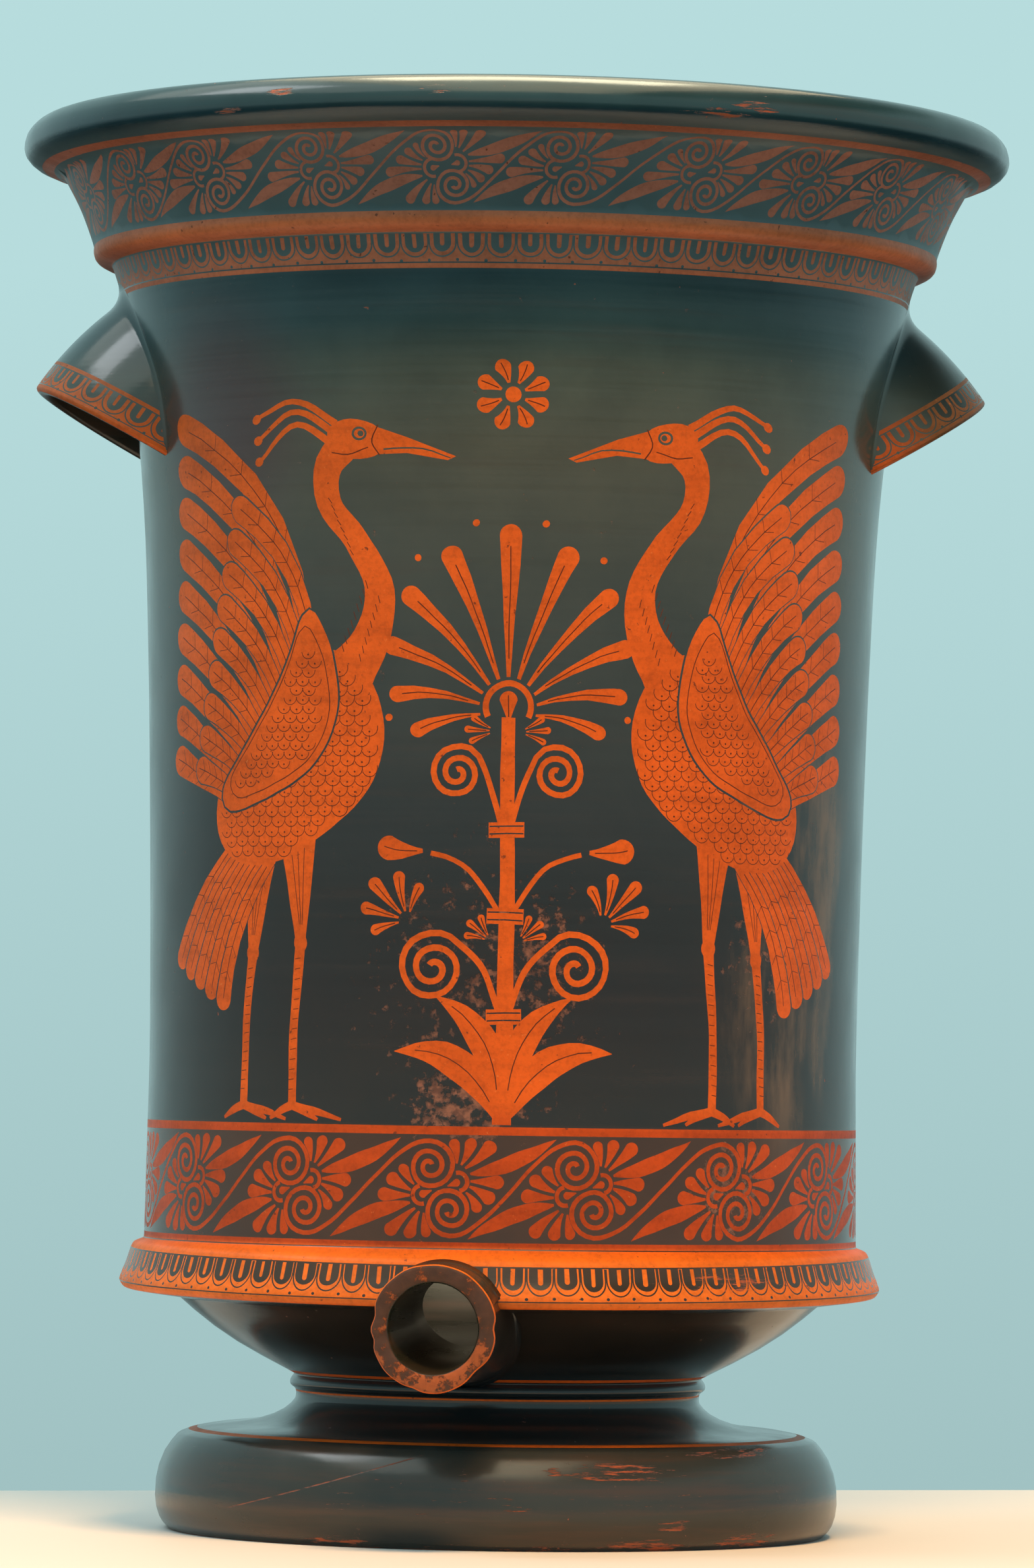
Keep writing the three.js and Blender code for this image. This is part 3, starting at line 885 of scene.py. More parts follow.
class Tube:
    """The tapered tube of one pocket handle, in mm, its sloping mouth, and where it meets the wall."""

    def __init__(self, sizes, section, bearing, tilt, cut):
        slope, mouth = sizes.handle_slope, sizes.mouth_slope
        out, up = np.array([math.cos(bearing), math.sin(bearing), 0]), np.array([0, 0, 1])
        lean, tilted = (np.array(Matrix.Rotation(angle, 3, "X")) for angle in (sizes.handle_lean, tilt))
        self.centre = out * HANDLE_OUT + up * HANDLE_UP
        self.out = lean @ (out * math.cos(slope) + up * math.sin(slope))
        self.rise = lean @ (up * math.cos(slope) - out * math.sin(slope))
        self.side = np.cross(self.rise, self.out)
        self.reach = sizes.handle_reach / MM
        self.wide = sizes.handle_half_width / sizes.handle_reach
        self.mouth = tilted @ (up * math.cos(mouth) - out * math.sin(mouth))
        self.tip = self.centre + self.out * self.reach + up * cut / MM
        span = (section.s > section.find(133.3, 110)) & (section.s < section.find(151, 470))
        self.wall_z, self.wall_r = section.z[span], section.r[span]

    def ring(self, angle, reach):
        """Place at an angle on the tube's ellipse, from its middle."""
        across, sideways = reach * np.cos(angle), self.wide * reach * np.sin(angle)
        return self.out * across[..., None] + self.side * sideways[..., None]

    def at(self, angle, height, inset=0.0):
        """Place at an angle round the tube and a height above its mouth.

        The tube is an ellipse whose reach shrinks with the square of the height. Its mouth is a plane through
        the tip, so the height counts from where a line along the tube crosses that plane.
        """
        gap = self.tip - self.centre - self.ring(angle, self.reach - inset)
        height = height + gap @ self.mouth / (self.rise @ self.mouth)
        reach = self.reach - HANDLE_TAPER * np.maximum(height, 0) ** 2 - inset
        return self.centre + self.ring(angle, reach) + self.rise * height[..., None]

    def depth(self, place):
        """How far a place lies inside the wall's outer face."""
        return np.interp(place[..., 2], self.wall_z, self.wall_r) - np.hypot(place[..., 0], place[..., 1])

    def meet(self, angle, depth, inset=0.0):
        """Height above the mouth where the tube lies that deep in the wall."""
        low, high = np.full(np.shape(angle), -20.0), np.full(np.shape(angle), 60.0)
        return halved(low, high, lambda height: self.depth(self.at(angle, height, inset)) > depth)

    def end(self, side, depth):
        """Angle at which the rim of the mouth lies that deep in the wall, on one side."""
        def beyond(angle):
            """Whether the rim at an angle lies deeper."""
            return self.depth(self.at(np.array(side * angle), np.array(0.0))) > depth

        return side * halved(math.radians(70), math.radians(150), beyond)

    def outward(self, angle, height):
        """Unit normal of the tube: its slope round times its slope upwards."""
        small = 1e-3
        round_slope = self.at(angle + small, height) - self.at(angle - small, height)
        up_slope = self.at(angle, height + small) - self.at(angle, height - small)
        normal = np.cross(round_slope, up_slope)
        return normal / np.linalg.norm(normal, axis=-1, keepdims=True)


def handle_paint(columns, counts, rng):
    """Outlines of a handle's painted band, in mm above its mouth: its lines, then its tongues."""
    painted = []
    x = np.linspace(columns[0] - 6, columns[-1] + 6, 90)
    for low, high, finish in ((-9, 1.0, CLAY), (1.0, 1.4, GLOSS), (1.4, 11.7, CLAY), (9.7, 10.2, GLOSS)):
        flat = np.vstack([np.column_stack([x, 0 * x + low]), np.column_stack([x, 0 * x + high])[::-1]])
        painted.append((flat, finish))
    pitch = math.radians(196) * HANDLE_PLANE / counts.handle_tongues
    for number in range(counts.handle_tongues):
        middle = (number - (counts.handle_tongues - 1) / 2) * pitch
        for shape, finish in HANDLE_TONGUES.unit(pitch, rng):
            painted.append((hand(shape + [middle, 9.9]), finish))
    return painted


def handle_face(tube, even, root_height, counts, rng):
    """Painted outer face of a handle, and the columns that its borders are divided by.

    The band is stretched so that the sloping root becomes the level upper border of the paint plane.
    """
    outlines = []
    for flat, finish in handle_paint(even, counts, rng):
        top = np.interp(flat[:, 0], even, root_height)
        shape = np.column_stack([flat[:, 1] * HANDLE_TALL / top, flat[:, 0]])
        outlines.append((clipped(shape, HANDLE_TALL, 1)[:, ::-1], finish))
    crossing = np.concatenate([shape[shape[:, 1] == HANDLE_TALL, 0] for shape, _ in outlines])
    crossing = crossing[(crossing > even[0] + 0.05) & (crossing < even[-1] - 0.05)]
    clear = np.abs(even[1:-1, None] - crossing).min(axis=1) > 0.05
    columns = np.sort(np.concatenate([even[[0, -1]], even[1:-1][clear], crossing]))
    corner, triangle, finish = cut_plane(
        columns, np.linspace(0, HANDLE_TALL, 16), [], outlines, [], lambda middle: np.full(len(middle), GLOSS)
    )
    for border in (0, HANDLE_TALL):
        edge = np.flatnonzero(np.abs(corner[:, 1] - border) < 0.002)
        nearest = columns[np.argmin(np.abs(corner[edge, :1] - columns), axis=1)]
        corner[edge] = np.column_stack([nearest, np.full(len(edge), border)])
    angle = corner[:, 0] / HANDLE_PLANE
    height = corner[:, 1] / HANDLE_TALL * np.interp(corner[:, 0], even, root_height)
    return (tube.at(angle, height), tube.outward(angle, height), triangle, finish), columns


def handle_shell(tube, sizes, counts, rng):
    """One handle: painted outer face, rounded lip, pocket and a root sunk in the wall."""
    wall = sizes.handle_wall / MM
    even = np.linspace(tube.end(-1, ROOT_DEPTH), tube.end(1, ROOT_DEPTH), 61) * HANDLE_PLANE
    root_height = np.maximum(tube.meet(even / HANDLE_PLANE, ROOT_DEPTH), 2.0)
    pocket_height = np.maximum(tube.meet(even / HANDLE_PLANE, ROOT_DEPTH, wall), 1.6)
    outer, columns = handle_face(tube, even, root_height, counts, rng)
    angle = columns / HANDLE_PLANE
    lip = np.linspace(0, math.pi, 9)
    inset = np.concatenate([wall / 2 * (1 - np.cos(lip)), np.full(12, wall)])
    share = np.concatenate([np.zeros(9), np.linspace(0, 1, 13)[1:]])
    dip = np.concatenate([-1.6 * np.sin(lip), np.zeros(12)])
    height = share * np.interp(columns, even, pocket_height)[:, None] + dip
    pocket = tube.at(angle[:, None] + 0 * height, height, inset + 0 * height)
    root = tube.at(angle, np.interp(columns, even, root_height))
    loop = np.concatenate([pocket, root[:, None]], axis=1)
    along = np.tile(np.arange(loop.shape[1] - 1), loop.shape[0] - 1)
    finish = np.where(along < 3, CLAY, np.where(along < 20, INNER, GLOSS))
    faces = grid_faces(*loop.shape[:2])[:, ::-1]
    return [outer, grid_shell(loop, -grid_normals(loop), faces, np.tile(finish, 2))]


def unit_rows(vectors):
    """Vectors scaled to a length of 1."""
    return vectors / np.linalg.norm(vectors, axis=1)[:, None]


def handle_fillet(tube):
    """The smoothed joint of a handle: a bead whose face is the curve b(t) = (1-t)^2 p + 2t(1-t) q + t^2 w.

    q is where tube and wall meet, p lies down the tube and w on the wall beyond it, so the bead leaves both
    faces level with them. Its back lies inside the clay.
    """
    angle = np.linspace(tube.end(-1, -0.4), tube.end(1, -0.4), 73)
    height = np.maximum(tube.meet(angle, 0.0), 0.2)
    size = np.minimum(2.2 + 4.8 * np.exp(-((angle / 0.6) ** 2)), 0.3 * height + 0.6)
    low_height = height - np.minimum(size, height * 0.9)
    low, corner = tube.at(angle, low_height), tube.at(angle, height)
    slope = np.interp(corner[:, 2], tube.wall_z, np.gradient(tube.wall_r, tube.wall_z))
    bearing = np.arctan2(corner[:, 1], corner[:, 0])
    wall_out = unit_rows(np.column_stack([np.cos(bearing), np.sin(bearing), -slope]))
    out = tube.outward(angle, height)
    away = unit_rows(out - wall_out * np.sum(out * wall_out, axis=1)[:, None])
    high = corner + away * size[:, None]
    radius = np.interp(high[:, 2], tube.wall_z, tube.wall_r)
    high[:, :2] *= (radius / np.hypot(high[:, 0], high[:, 1]))[:, None]
    t = np.linspace(0, 1, 9)[None, :, None]
    face = (1 - t) ** 2 * low[:, None] + 2 * t * (1 - t) * corner[:, None] + t**2 * high[:, None]
    back = corner - 2.5 * wall_out - 1.5 * out
    bead = np.concatenate([face, back[:, None]], axis=1)
    normal = grid_normals(bead)
    normal[:, 0] = tube.outward(angle, low_height)
    normal[:, 8] = wall_out
    faces = grid_faces(*bead.shape[:2], wrap_along=True)
    return [grid_shell(bead, normal, faces, np.full(len(faces), GLOSS))]


def build_handles(sizes, counts):
    """Both pocket handles as one piece."""
    section = vessel_section(sizes)
    rng = np.random.default_rng(5)
    shells = []
    for start, tilt, cut in ((math.pi, sizes.left_tilt, 0), (0, sizes.right_tilt, sizes.right_cut)):
        tube = Tube(sizes, section, start + sizes.handle_turn, tilt, cut)
        shells += [weld(handle_shell(tube, sizes, counts, rng)), weld(handle_fillet(tube))]
    return put_piece("pocket_handles", joined(shells), fill_rings)


# Chips of the spout's mouth: angle and width in radians, and depth in mm
CHIPS = ((2.95, 0.16, 1.6), (3.35, 0.1, 0.9), (0.02, 0.12, 1.2), (5.5, 0.22, 1.4), (4.4, 0.12, 0.7))


def build_spout(sizes):
    """The drain spout: a level ring profile carried round its axis, chipped at the mouth."""
    section = vessel_section(sizes)
    angle = np.linspace(0, 2 * math.pi, 96, endpoint=False)
    bore, outer, reach = sizes.spout_bore / MM, sizes.spout_radius / MM, sizes.spout_reach / MM
    chips = np.zeros_like(angle)
    for middle, width, deep in CHIPS:
        gap = np.angle(np.exp(1j * (angle - middle)))
        chips += deep * np.exp(-((gap / width) ** 2))
    uneven = 0.35 * np.sin(3 * angle + 0.6) + 0.25 * np.sin(7 * angle) + 0.15 * np.sin(13 * angle + 1)
    into = spout_line(section, sizes, angle, BORE_END, False)[0]
    inner_edge = spout_line(section, sizes, angle, BORE_END + 2.4, False)[0]
    root = outer - 1.2
    wall = spout_line(section, sizes, angle, root, True)[0]
    face = reach + uneven - 0.6 * chips
    edge = outer + 0.4 * uneven - chips
    shares = np.array([0, 0.3, 0.6, 0.85, 0.95])
    rings = [(BORE_END + share * (bore - BORE_END), into - 0.2 + share * (face - into)) for share in shares]
    rings += [(bore + 0.15, face - 1.2), (bore + 0.7, face - 0.35), (bore + 1.6, face),
              (bore * 0.5 + edge * 0.5, face + 0.15),
              (edge - 1.3, face), (edge - 0.4, face - 0.35), (edge, face - 1.2)]
    for share in (0.1, 0.25, 0.45, 0.65, 0.82):
        radius = edge + (root - edge) * min(1, share * 2.4)
        rings.append((radius, face - 1.5 + share * (wall + 5 - face)))
    rings += [(root + 0.5, wall + 3), (root + 1.2, wall + 1.2), (root + 2.4, wall - 0.3),
              (root - 1.5, wall - 3.5), (BORE_END + 2.4, inner_edge + 0.6)]
    rise = np.zeros(len(rings))
    rise[: len(shares)] = BORE_RISE * (1 - shares)
    rise[-1] = BORE_RISE
    radius = np.stack([np.broadcast_to(ring[0], angle.shape) for ring in rings], axis=1)
    along = np.stack([ring[1] for ring in rings], axis=1)
    side = radius * np.cos(angle)[:, None]
    height = sizes.spout_height / MM + rise + radius * np.sin(angle)[:, None]
    turn = -sizes.spout_turn
    x = side * math.cos(turn) + along * math.sin(turn)
    y = side * math.sin(turn) - along * math.cos(turn)
    grid = np.stack([x, y, height], axis=-1)
    faces = grid_faces(*grid.shape[:2], wrap_across=True, wrap_along=True)[:, ::-1]
    row = np.tile(np.arange(len(rings)), len(angle))
    finish = np.where(row < 6, INNER, np.where(row < 10, BARE, np.where(row < 11, CLAY, GLOSS)))
    shell = weld([grid_shell(grid, -grid_normals(grid, True, True), faces, np.tile(finish, 2))])
    return put_piece("spout", shell, fill_rings)


# Height up to which the colours run, in mm
TALL = 530.0


class Finish:
    """Builds one material: each call adds a node and returns its output."""

    def __init__(self, name):
        self.material = bpy.data.materials.new(name)
        self.material.use_nodes = True
        self.tree = self.material.node_tree
        self.place = self.add("TexCoord", "Object", {})

    def plug(self, node, values):
        """Links an output to each input of a node, or sets the input's own value."""
        for key, value in values.items():
            if isinstance(value, bpy.types.NodeSocket):
                self.tree.links.new(value, node.inputs[key])
            else:
                node.inputs[key].default_value = value

    def add(self, kind, output, values, **settings):
        """Adds a node with its settings and the values of its inputs, and returns one of its outputs."""
        node = self.tree.nodes.new("ShaderNode" + kind)
        for key, value in settings.items():
            setattr(node, key, value)
        self.plug(node, values)
        return node.outputs[output]

    def noise(self, scale, detail=4.0, roughness=0.55, vector=None):
        """Fractal noise over the piece, from 0 to 1."""
        values = {"Vector": vector or self.place, "Scale": scale, "Detail": detail, "Roughness": roughness}
        return self.add("TexNoise", "Fac", values)

    def stretched(self, across, up, detail=5.0, roughness=0.6):
        """Fractal noise at one scale round the piece and another up it."""
        values = {"Vector": self.place, "Scale": (across, across, up)}
        return self.noise(1.0, detail, roughness, self.add("Mapping", "Vector", values))

    def patch(self, centre, reach):
        """1 at a centre in mm, falling to 0 at the reach along each axis."""
        values = {"Vector": self.place, "Location": np.array(centre) * MM, "Scale": np.array(reach) * MM}
        inside = self.add("Mapping", "Vector", values, vector_type="TEXTURE")
        return self.add("TexGradient", "Fac", {"Vector": inside}, gradient_type="SPHERICAL")

    def worn(self, places):
        """How far worn places add to the grain: the greatest share among them."""
        most = None
        for centre, reach, share in places:
            here = self.maths("MULTIPLY", self.ramp(self.patch(centre, reach), 0.0, 0.7), 0.42 * share)
            most = here if most is None else self.maths("MAXIMUM", most, here)
        return most

    def scratch(self, slope, start, half_width):
        """1 on a straight scratch across the front: height = start + slope times x, in mm."""
        values = {0: self.place, 1: (-slope, 0, 1)}
        height = self.add("VectorMath", "Value", values, operation="DOT_PRODUCT")
        gap = self.maths("ABSOLUTE", self.maths("SUBTRACT", height, start * MM))
        return self.ramp(gap, half_width * MM, half_width * MM * 0.4)

    def height(self):
        """Height over the floor, in metres."""
        return self.add("SeparateXYZ", "Z", {0: self.place})

    def by_height(self, stops):
        """Colour carried evenly between stops of height in mm and colour."""
        tone = self.add("ValToRGB", "Color", {0: self.maths("DIVIDE", self.height(), TALL * MM)})
        elements = tone.node.color_ramp.elements
        elements.remove(elements[1])
        for number, (height, colour) in enumerate(stops):
            stop = elements.new(height / TALL) if number else elements[0]
            stop.position = height / TALL
            stop.color = (*colour, 1)
        return tone

    def shade(self, colour, factor):
        """A colour times a factor."""
        return self.add("VectorMath", "Vector", {0: colour, "Scale": factor}, operation="SCALE")

    def ramp(self, value, low, high, start=0.0, end=1.0):
        """Carries a value from between low and high to between start and end, smoothly."""
        values = dict(enumerate((value, low, high, start, end)))
        return self.add("MapRange", "Result", values, interpolation_type="SMOOTHSTEP")

    def maths(self, operation, a, b=0.0):
        """One sum of two values."""
        return self.add("Math", 0, {0: a, 1: b}, operation=operation)

    def mix(self, share, a, b):
        """Mixes two colours."""
        a, b = ((*value, 1) if isinstance(value, tuple) else value for value in (a, b))
        return self.add("Mix", 2, {0: share, 6: a, 7: b}, data_type="RGBA")

    def bump(self, height, distance, below=None):
        """A bumped normal, on top of another."""
        values = {"Distance": distance, "Height": height}
        if below:
            values["Normal"] = below
        return self.add("Bump", "Normal", values)

    def finish(self, colour, roughness, normal, sheen=0.5):
        """Sends colour, roughness and normal to the shader, and sets how strongly it mirrors."""
        values = {"Base Color": colour, "Roughness": roughness, "Normal": normal, "Specular IOR Level": sheen}
        self.plug(self.tree.nodes["Principled BSDF"], values)
        return self.material


# Colour of the black gloss against the height in mm, partly painted light and shade:
# painted shade under the bowl (42 to 86 mm) and teal painted shade under the lip (441 to 459 mm), a pale
# bluish painted reflection on the neck (463 to 505 mm), and a lighter painted grey on the lit middle of the
# body
GLOSS_AND_PAINTED_LIGHT_TONES = (
    (0, (0.022, 0.019, 0.014)), (36, (0.028, 0.03, 0.028)), (42, (0.01, 0.014, 0.016)),
    (60, (0.007, 0.011, 0.014)), (66, (0.01, 0.009, 0.008)), (86, (0.013, 0.011, 0.009)),
    (98, (0.045, 0.027, 0.015)), (110, (0.058, 0.024, 0.01)), (150, (0.054, 0.021, 0.008)),
    (153, (0.018, 0.012, 0.009)), (200, (0.016, 0.008, 0.006)), (233, (0.014, 0.01, 0.009)),
    (262, (0.02, 0.019, 0.02)), (330, (0.036, 0.04, 0.037)), (397, (0.066, 0.067, 0.051)),
    (426, (0.056, 0.074, 0.064)), (441, (0.022, 0.052, 0.058)), (459, (0.016, 0.046, 0.056)),
    (463, (0.062, 0.115, 0.126)), (505, (0.054, 0.105, 0.12)), (511, (0.012, 0.038, 0.05)),
)
# Colour of the reserved clay against the height in mm; above 461 mm it is painted shade, darker and bluish
# under the lip
CLAY_AND_PAINTED_SHADE_TONES = (
    (0, (0.64, 0.108, 0.008)), (86, (0.66, 0.11, 0.008)), (92, (0.74, 0.15, 0.012)),
    (106, (0.72, 0.14, 0.01)), (108.2, (0.66, 0.11, 0.008)), (109.5, (0.47, 0.056, 0.004)),
    (151, (0.5, 0.06, 0.004)), (160, (0.68, 0.1, 0.006)), (300, (0.72, 0.108, 0.007)),
    (455, (0.7, 0.115, 0.012)), (461.5, (0.45, 0.148, 0.078)), (471.3, (0.45, 0.148, 0.078)),
    (473.5, (0.58, 0.155, 0.058)), (477.5, (0.58, 0.155, 0.058)), (480, (0.37, 0.137, 0.09)),
    (505.5, (0.37, 0.137, 0.09)), (509, (0.31, 0.086, 0.034)),
)
# Worn places of the gloss: centre and reach in mm, and how much of the clay shows through.
# Rubbed places are a soft scatter of specks, and chipped ones run along the wheel marks.
RUBBED = (
    ((-12, -134, 162), (40, 40, 24), 0.5),
    ((6, -134, 208), (44, 40, 56), 0.34),
    ((-16, -134, 205), (66, 40, 76), 0.24),
    ((84, -102, 131), (30, 30, 26), 0.4),
    ((94, -94, 218), (24, 40, 44), 0.3),
)
CHIPPED = (
    ((84, -112, 96), (46, 40, 9), 0.42),
    ((-27, -182, 519.5), (16, 9, 3.4), 0.48),
    ((-84, -163, 519.5), (9, 12, 3), 0.48),
    ((-104, -152, 513.5), (12, 12, 3), 0.44),
    ((86, -164, 516), (16, 14, 3.6), 0.6),
    ((72, -169, 513.5), (20, 14, 3.6), 0.48),
    ((10, -112, 20), (150, 60, 30), 0.17),
    ((44, -117, 28), (42, 30, 7), 0.46),
    ((61, -110, 9), (18, 20, 4), 0.46),
    ((-59, -108, 2), (26, 20, 4), 0.5),
    ((56, -110, 2), (30, 25, 4.5), 0.56),
    ((92, -84, 3), (30, 30, 4.5), 0.56),
    ((88, -82, 35), (40, 34, 4), 0.5),
    ((10, -118, 1), (120, 30, 3), 0.36),
)


def gloss_finish(colours):
    """Black gloss: brown where it is thin, in wheel streaks and hazes, worn to specks of clay in places, with
    painted shade and a painted reflection by height and painted shade on the right handle.
    """
    coat = Finish("black_gloss")
    streak = coat.stretched(9, 150)
    cloud = coat.noise(22.0)
    # Brown streaks, mostly on the foot, painted shade on the right handle, and tints beside the left handle
    # and on the right flank
    foot = coat.ramp(coat.height(), 0.04, 0.032)
    amount = coat.maths("MULTIPLY", foot, coat.ramp(streak, 0.42, 0.68, 0.0, 0.5))
    amount = coat.maths("ADD", amount, coat.ramp(streak, 0.5, 0.78, 0.0, 0.2))
    # Painted shade: the gloss of the right handle is darkened
    right_handle_painted_shade = coat.ramp(coat.patch((176, 6, 432), (60, 80, 56)), 0.05, 0.5)
    ruddy = coat.ramp(coat.patch((-104, -88, 408), (52, 70, 62)), 0.05, 0.8, 0.0, 0.8)
    flank = coat.ramp(coat.patch((106, -82, 226), (44, 62, 100)), 0.02, 0.42)
    smoke = coat.maths("MULTIPLY", coat.ramp(coat.stretched(46, 13), 0.42, 0.66), flank)
    colour = coat.shade(coat.by_height(GLOSS_AND_PAINTED_LIGHT_TONES), coat.ramp(cloud, 0.3, 0.7, 0.86, 1.14))
    colour = coat.mix(right_handle_painted_shade, colour, (0.012, 0.018, 0.016))
    colour = coat.mix(ruddy, colour, (0.062, 0.03, 0.034))
    colour = coat.mix(amount, colour, tuple(colours.thin_gloss))
    colour = coat.mix(smoke, colour, (0.125, 0.068, 0.036))
    # Rubbed and chipped places, stray specks and one long scratch on the foot
    coarse = coat.maths("MULTIPLY", coat.noise(230.0, 5.0, 0.62), 0.76)
    grain = coat.maths("ADD", coarse, coat.maths("MULTIPLY", coat.noise(820.0, 4.0, 0.7), 0.24))
    rubbed = coat.ramp(coat.maths("ADD", grain, coat.worn(RUBBED)), 0.64, 0.78, 0.0, 0.9)
    scuff = coat.stretched(64, 700, 6.0, 0.74)
    chipped = coat.ramp(coat.maths("ADD", scuff, coat.worn(CHIPPED)), 0.7, 0.79, 0.0, 0.95)
    stray = coat.ramp(coat.noise(300.0, 2.0, 0.5), 0.785, 0.81, 0.0, 0.6)
    along = coat.ramp(coat.patch((-63, -104, 22), (40, 70, 60)), 0.02, 0.2)
    scratch = coat.maths("MULTIPLY", coat.scratch(0.3066, 41.9, 0.28), along)
    scratch = coat.maths("MULTIPLY", scratch, coat.ramp(scuff, 0.38, 0.6, 0.0, 0.75))
    film = coat.mix(coat.ramp(coat.noise(300.0, 3.0), 0.4, 0.62), (0.12, 0.04, 0.022), (0.28, 0.1, 0.056))
    bare = coat.maths("MAXIMUM", chipped, coat.maths("MAXIMUM", stray, scratch))
    colour = coat.mix(bare, coat.mix(rubbed, colour, film), tuple(colours.bare_clay))
    # Duller where the gloss is lost and on the neck, with slow waves, wheel marks and fine grain
    lost = coat.maths("MAXIMUM", rubbed, bare)
    neck = coat.ramp(coat.height(), 0.514, 0.509, 0.0, 0.24)
    hazy = coat.maths("MULTIPLY", coat.ramp(coat.height(), 0.46, 0.464), neck)
    roughness = coat.maths("ADD", coat.ramp(cloud, 0.3, 0.7, 0.15, 0.25), coat.maths("MULTIPLY", lost, 0.35))
    wheel = coat.bump(coat.stretched(5, 190, 2.0, 0.5), 0.00012, coat.bump(coat.noise(14.0, 2.0), 0.0009))
    fine = coat.maths("SUBTRACT", coat.maths("MULTIPLY", coat.noise(380.0, 3.0), 0.25), lost)
    return coat.finish(colour, coat.maths("ADD", roughness, hazy), coat.bump(fine, 0.0001, wheel))


def line_finish(colours):
    """Thinned gloss of the finest lines: a brown wash over the clay."""
    coat = Finish("thin_line")
    wash = coat.noise(150.0, 4.0, 0.6)
    brown = tuple(colours.thin_line)
    colour = coat.mix(coat.ramp(wash, 0.35, 0.7), brown, tuple(0.5 * value for value in brown))
    normal = coat.bump(coat.noise(14.0, 2.0), 0.0007)
    return coat.finish(colour, coat.ramp(wash, 0.3, 0.7, 0.38, 0.5), normal, 0.25)


def clay_finish():
    """Fired clay: warm orange with darker clouds and streaks, pale grains, fine pits and dark specks, with
    painted shade under the lip and on the handles.
    """
    coat = Finish("reserved_clay")
    cloud = coat.noise(26.0, 6.0, 0.64)
    fine = coat.noise(520.0, 4.0, 0.65)
    streak = coat.stretched(14, 160, 5.0, 0.62)
    stain = coat.ramp(cloud, 0.34, 0.7, 0.0, 0.26)
    stain = coat.maths("ADD", stain, coat.ramp(streak, 0.42, 0.72, 0.0, 0.16))
    stain = coat.maths("ADD", stain, coat.ramp(fine, 0.42, 0.68, 0.0, 0.16))
    colour = coat.by_height(CLAY_AND_PAINTED_SHADE_TONES)
    # Painted shade on the handles' clay: the right handle much darker, the left a little
    for handle, tint in (((176, 6, 424), (0.15, 0.058, 0.018)), ((-176, -6, 424), (0.52, 0.11, 0.022))):
        colour = coat.mix(coat.ramp(coat.patch(handle, (70, 100, 70)), 0.1, 0.5), colour, tint)
    colour = coat.shade(colour, coat.maths("SUBTRACT", 1.12, stain))
    colour = coat.mix(coat.ramp(coat.noise(700.0, 2.0), 0.68, 0.78, 0.0, 0.4), colour, (0.75, 0.26, 0.08))
    colour = coat.mix(coat.ramp(coat.noise(430.0, 2.0), 0.69, 0.75, 0.0, 0.75), colour, (0.07, 0.02, 0.01))
    normal = coat.bump(fine, 0.00012, coat.bump(coat.noise(14.0, 2.0), 0.0007))
    return coat.finish(colour, coat.ramp(cloud, 0.3, 0.7, 0.4, 0.54), normal, 0.22)


def inner_finish(colours):
    """Gloss of the inside and the pockets: browner and duller, with wheel streaks."""
    coat = Finish("inner_gloss")
    streak = coat.stretched(7, 140)
    colour = coat.mix(coat.ramp(streak, 0.4, 0.75), tuple(colours.inner_gloss), tuple(colours.thin_gloss))
    normal = coat.bump(streak, 0.0002, coat.bump(coat.noise(16.0, 2.0), 0.0008))
    return coat.finish(colour, coat.ramp(streak, 0.3, 0.7, 0.24, 0.38), normal)


def worn_finish():
    """Bare and rubbed clay of the spout's mouth and the underside: brown film over orange."""
    coat = Finish("bare_clay")
    film = coat.noise(120.0, 7.0, 0.7)
    low = coat.ramp(coat.height(), 0.08, 0.062, 0.0, 0.12)
    shown = coat.ramp(coat.maths("ADD", film, low), 0.545, 0.62, 0.0, 0.9)
    brown = coat.mix(coat.noise(300.0), (0.03, 0.014, 0.008), (0.1, 0.036, 0.018))
    orange = coat.mix(coat.noise(420.0, 4.0, 0.65), (0.22, 0.05, 0.014), (0.5, 0.11, 0.022))
    normal = coat.bump(coat.noise(300.0, 5.0, 0.6), 0.0003, coat.bump(shown, 0.0003))
    return coat.finish(coat.mix(shown, brown, orange), coat.ramp(film, 0.3, 0.7, 0.45, 0.7), normal, 0.3)


def finishes():
    """The finishes by name, made on first use."""
    if FINISH_NAMES[0] not in bpy.data.materials:
        colours = bpy.context.scene.krater_colours
        gloss_finish(colours)
        clay_finish()
        inner_finish(colours)
        worn_finish()
        line_finish(colours)
    return bpy.data.materials


# Lamps: place, aim, width and depth in metres, power in watts, colour, whether they light and are mirrored
LAMPS = {
    "lamp_front": ((0.32, -1.22, 2.38), (0, -0.05, 0.3), 0.9, 0.4, 74.0, (1.0, 0.6, 0.26), True, False),
    "lamp_over": ((0.14, -0.45, 2.2), (0.14, -0.46, 0.5), 1.5, 4.1, 56.0, (1.0, 0.78, 0.48), False, True),
    "lamp_core": ((0.04, 0.26, 2.1), (0.04, 0.25, 0.5), 0.9, 0.6, 22.0, (1.0, 0.9, 0.62), False, True),
    "lamp_side": ((-1.3, -0.4, 2.2), (-1.3, -0.41, 0.5), 1.3, 3.2, 16.0, (1.0, 1.0, 0.9), False, True),
    "lamp_left": ((-1.3, -0.15, 2.1), (-0.14, -0.05, 0.4), 0.8, 0.7, 8.0, (0.9, 0.95, 1.0), True, True),
}
# Camera: place in metres, focal length in mm, and its turn in degrees
CAMERA_PLACE = (0, -2.97, 0.1732)
CAMERA_LENS = 181.7
CAMERA_YAW, CAMERA_PITCH, CAMERA_ROLL = -0.072, 2.06, 0.9


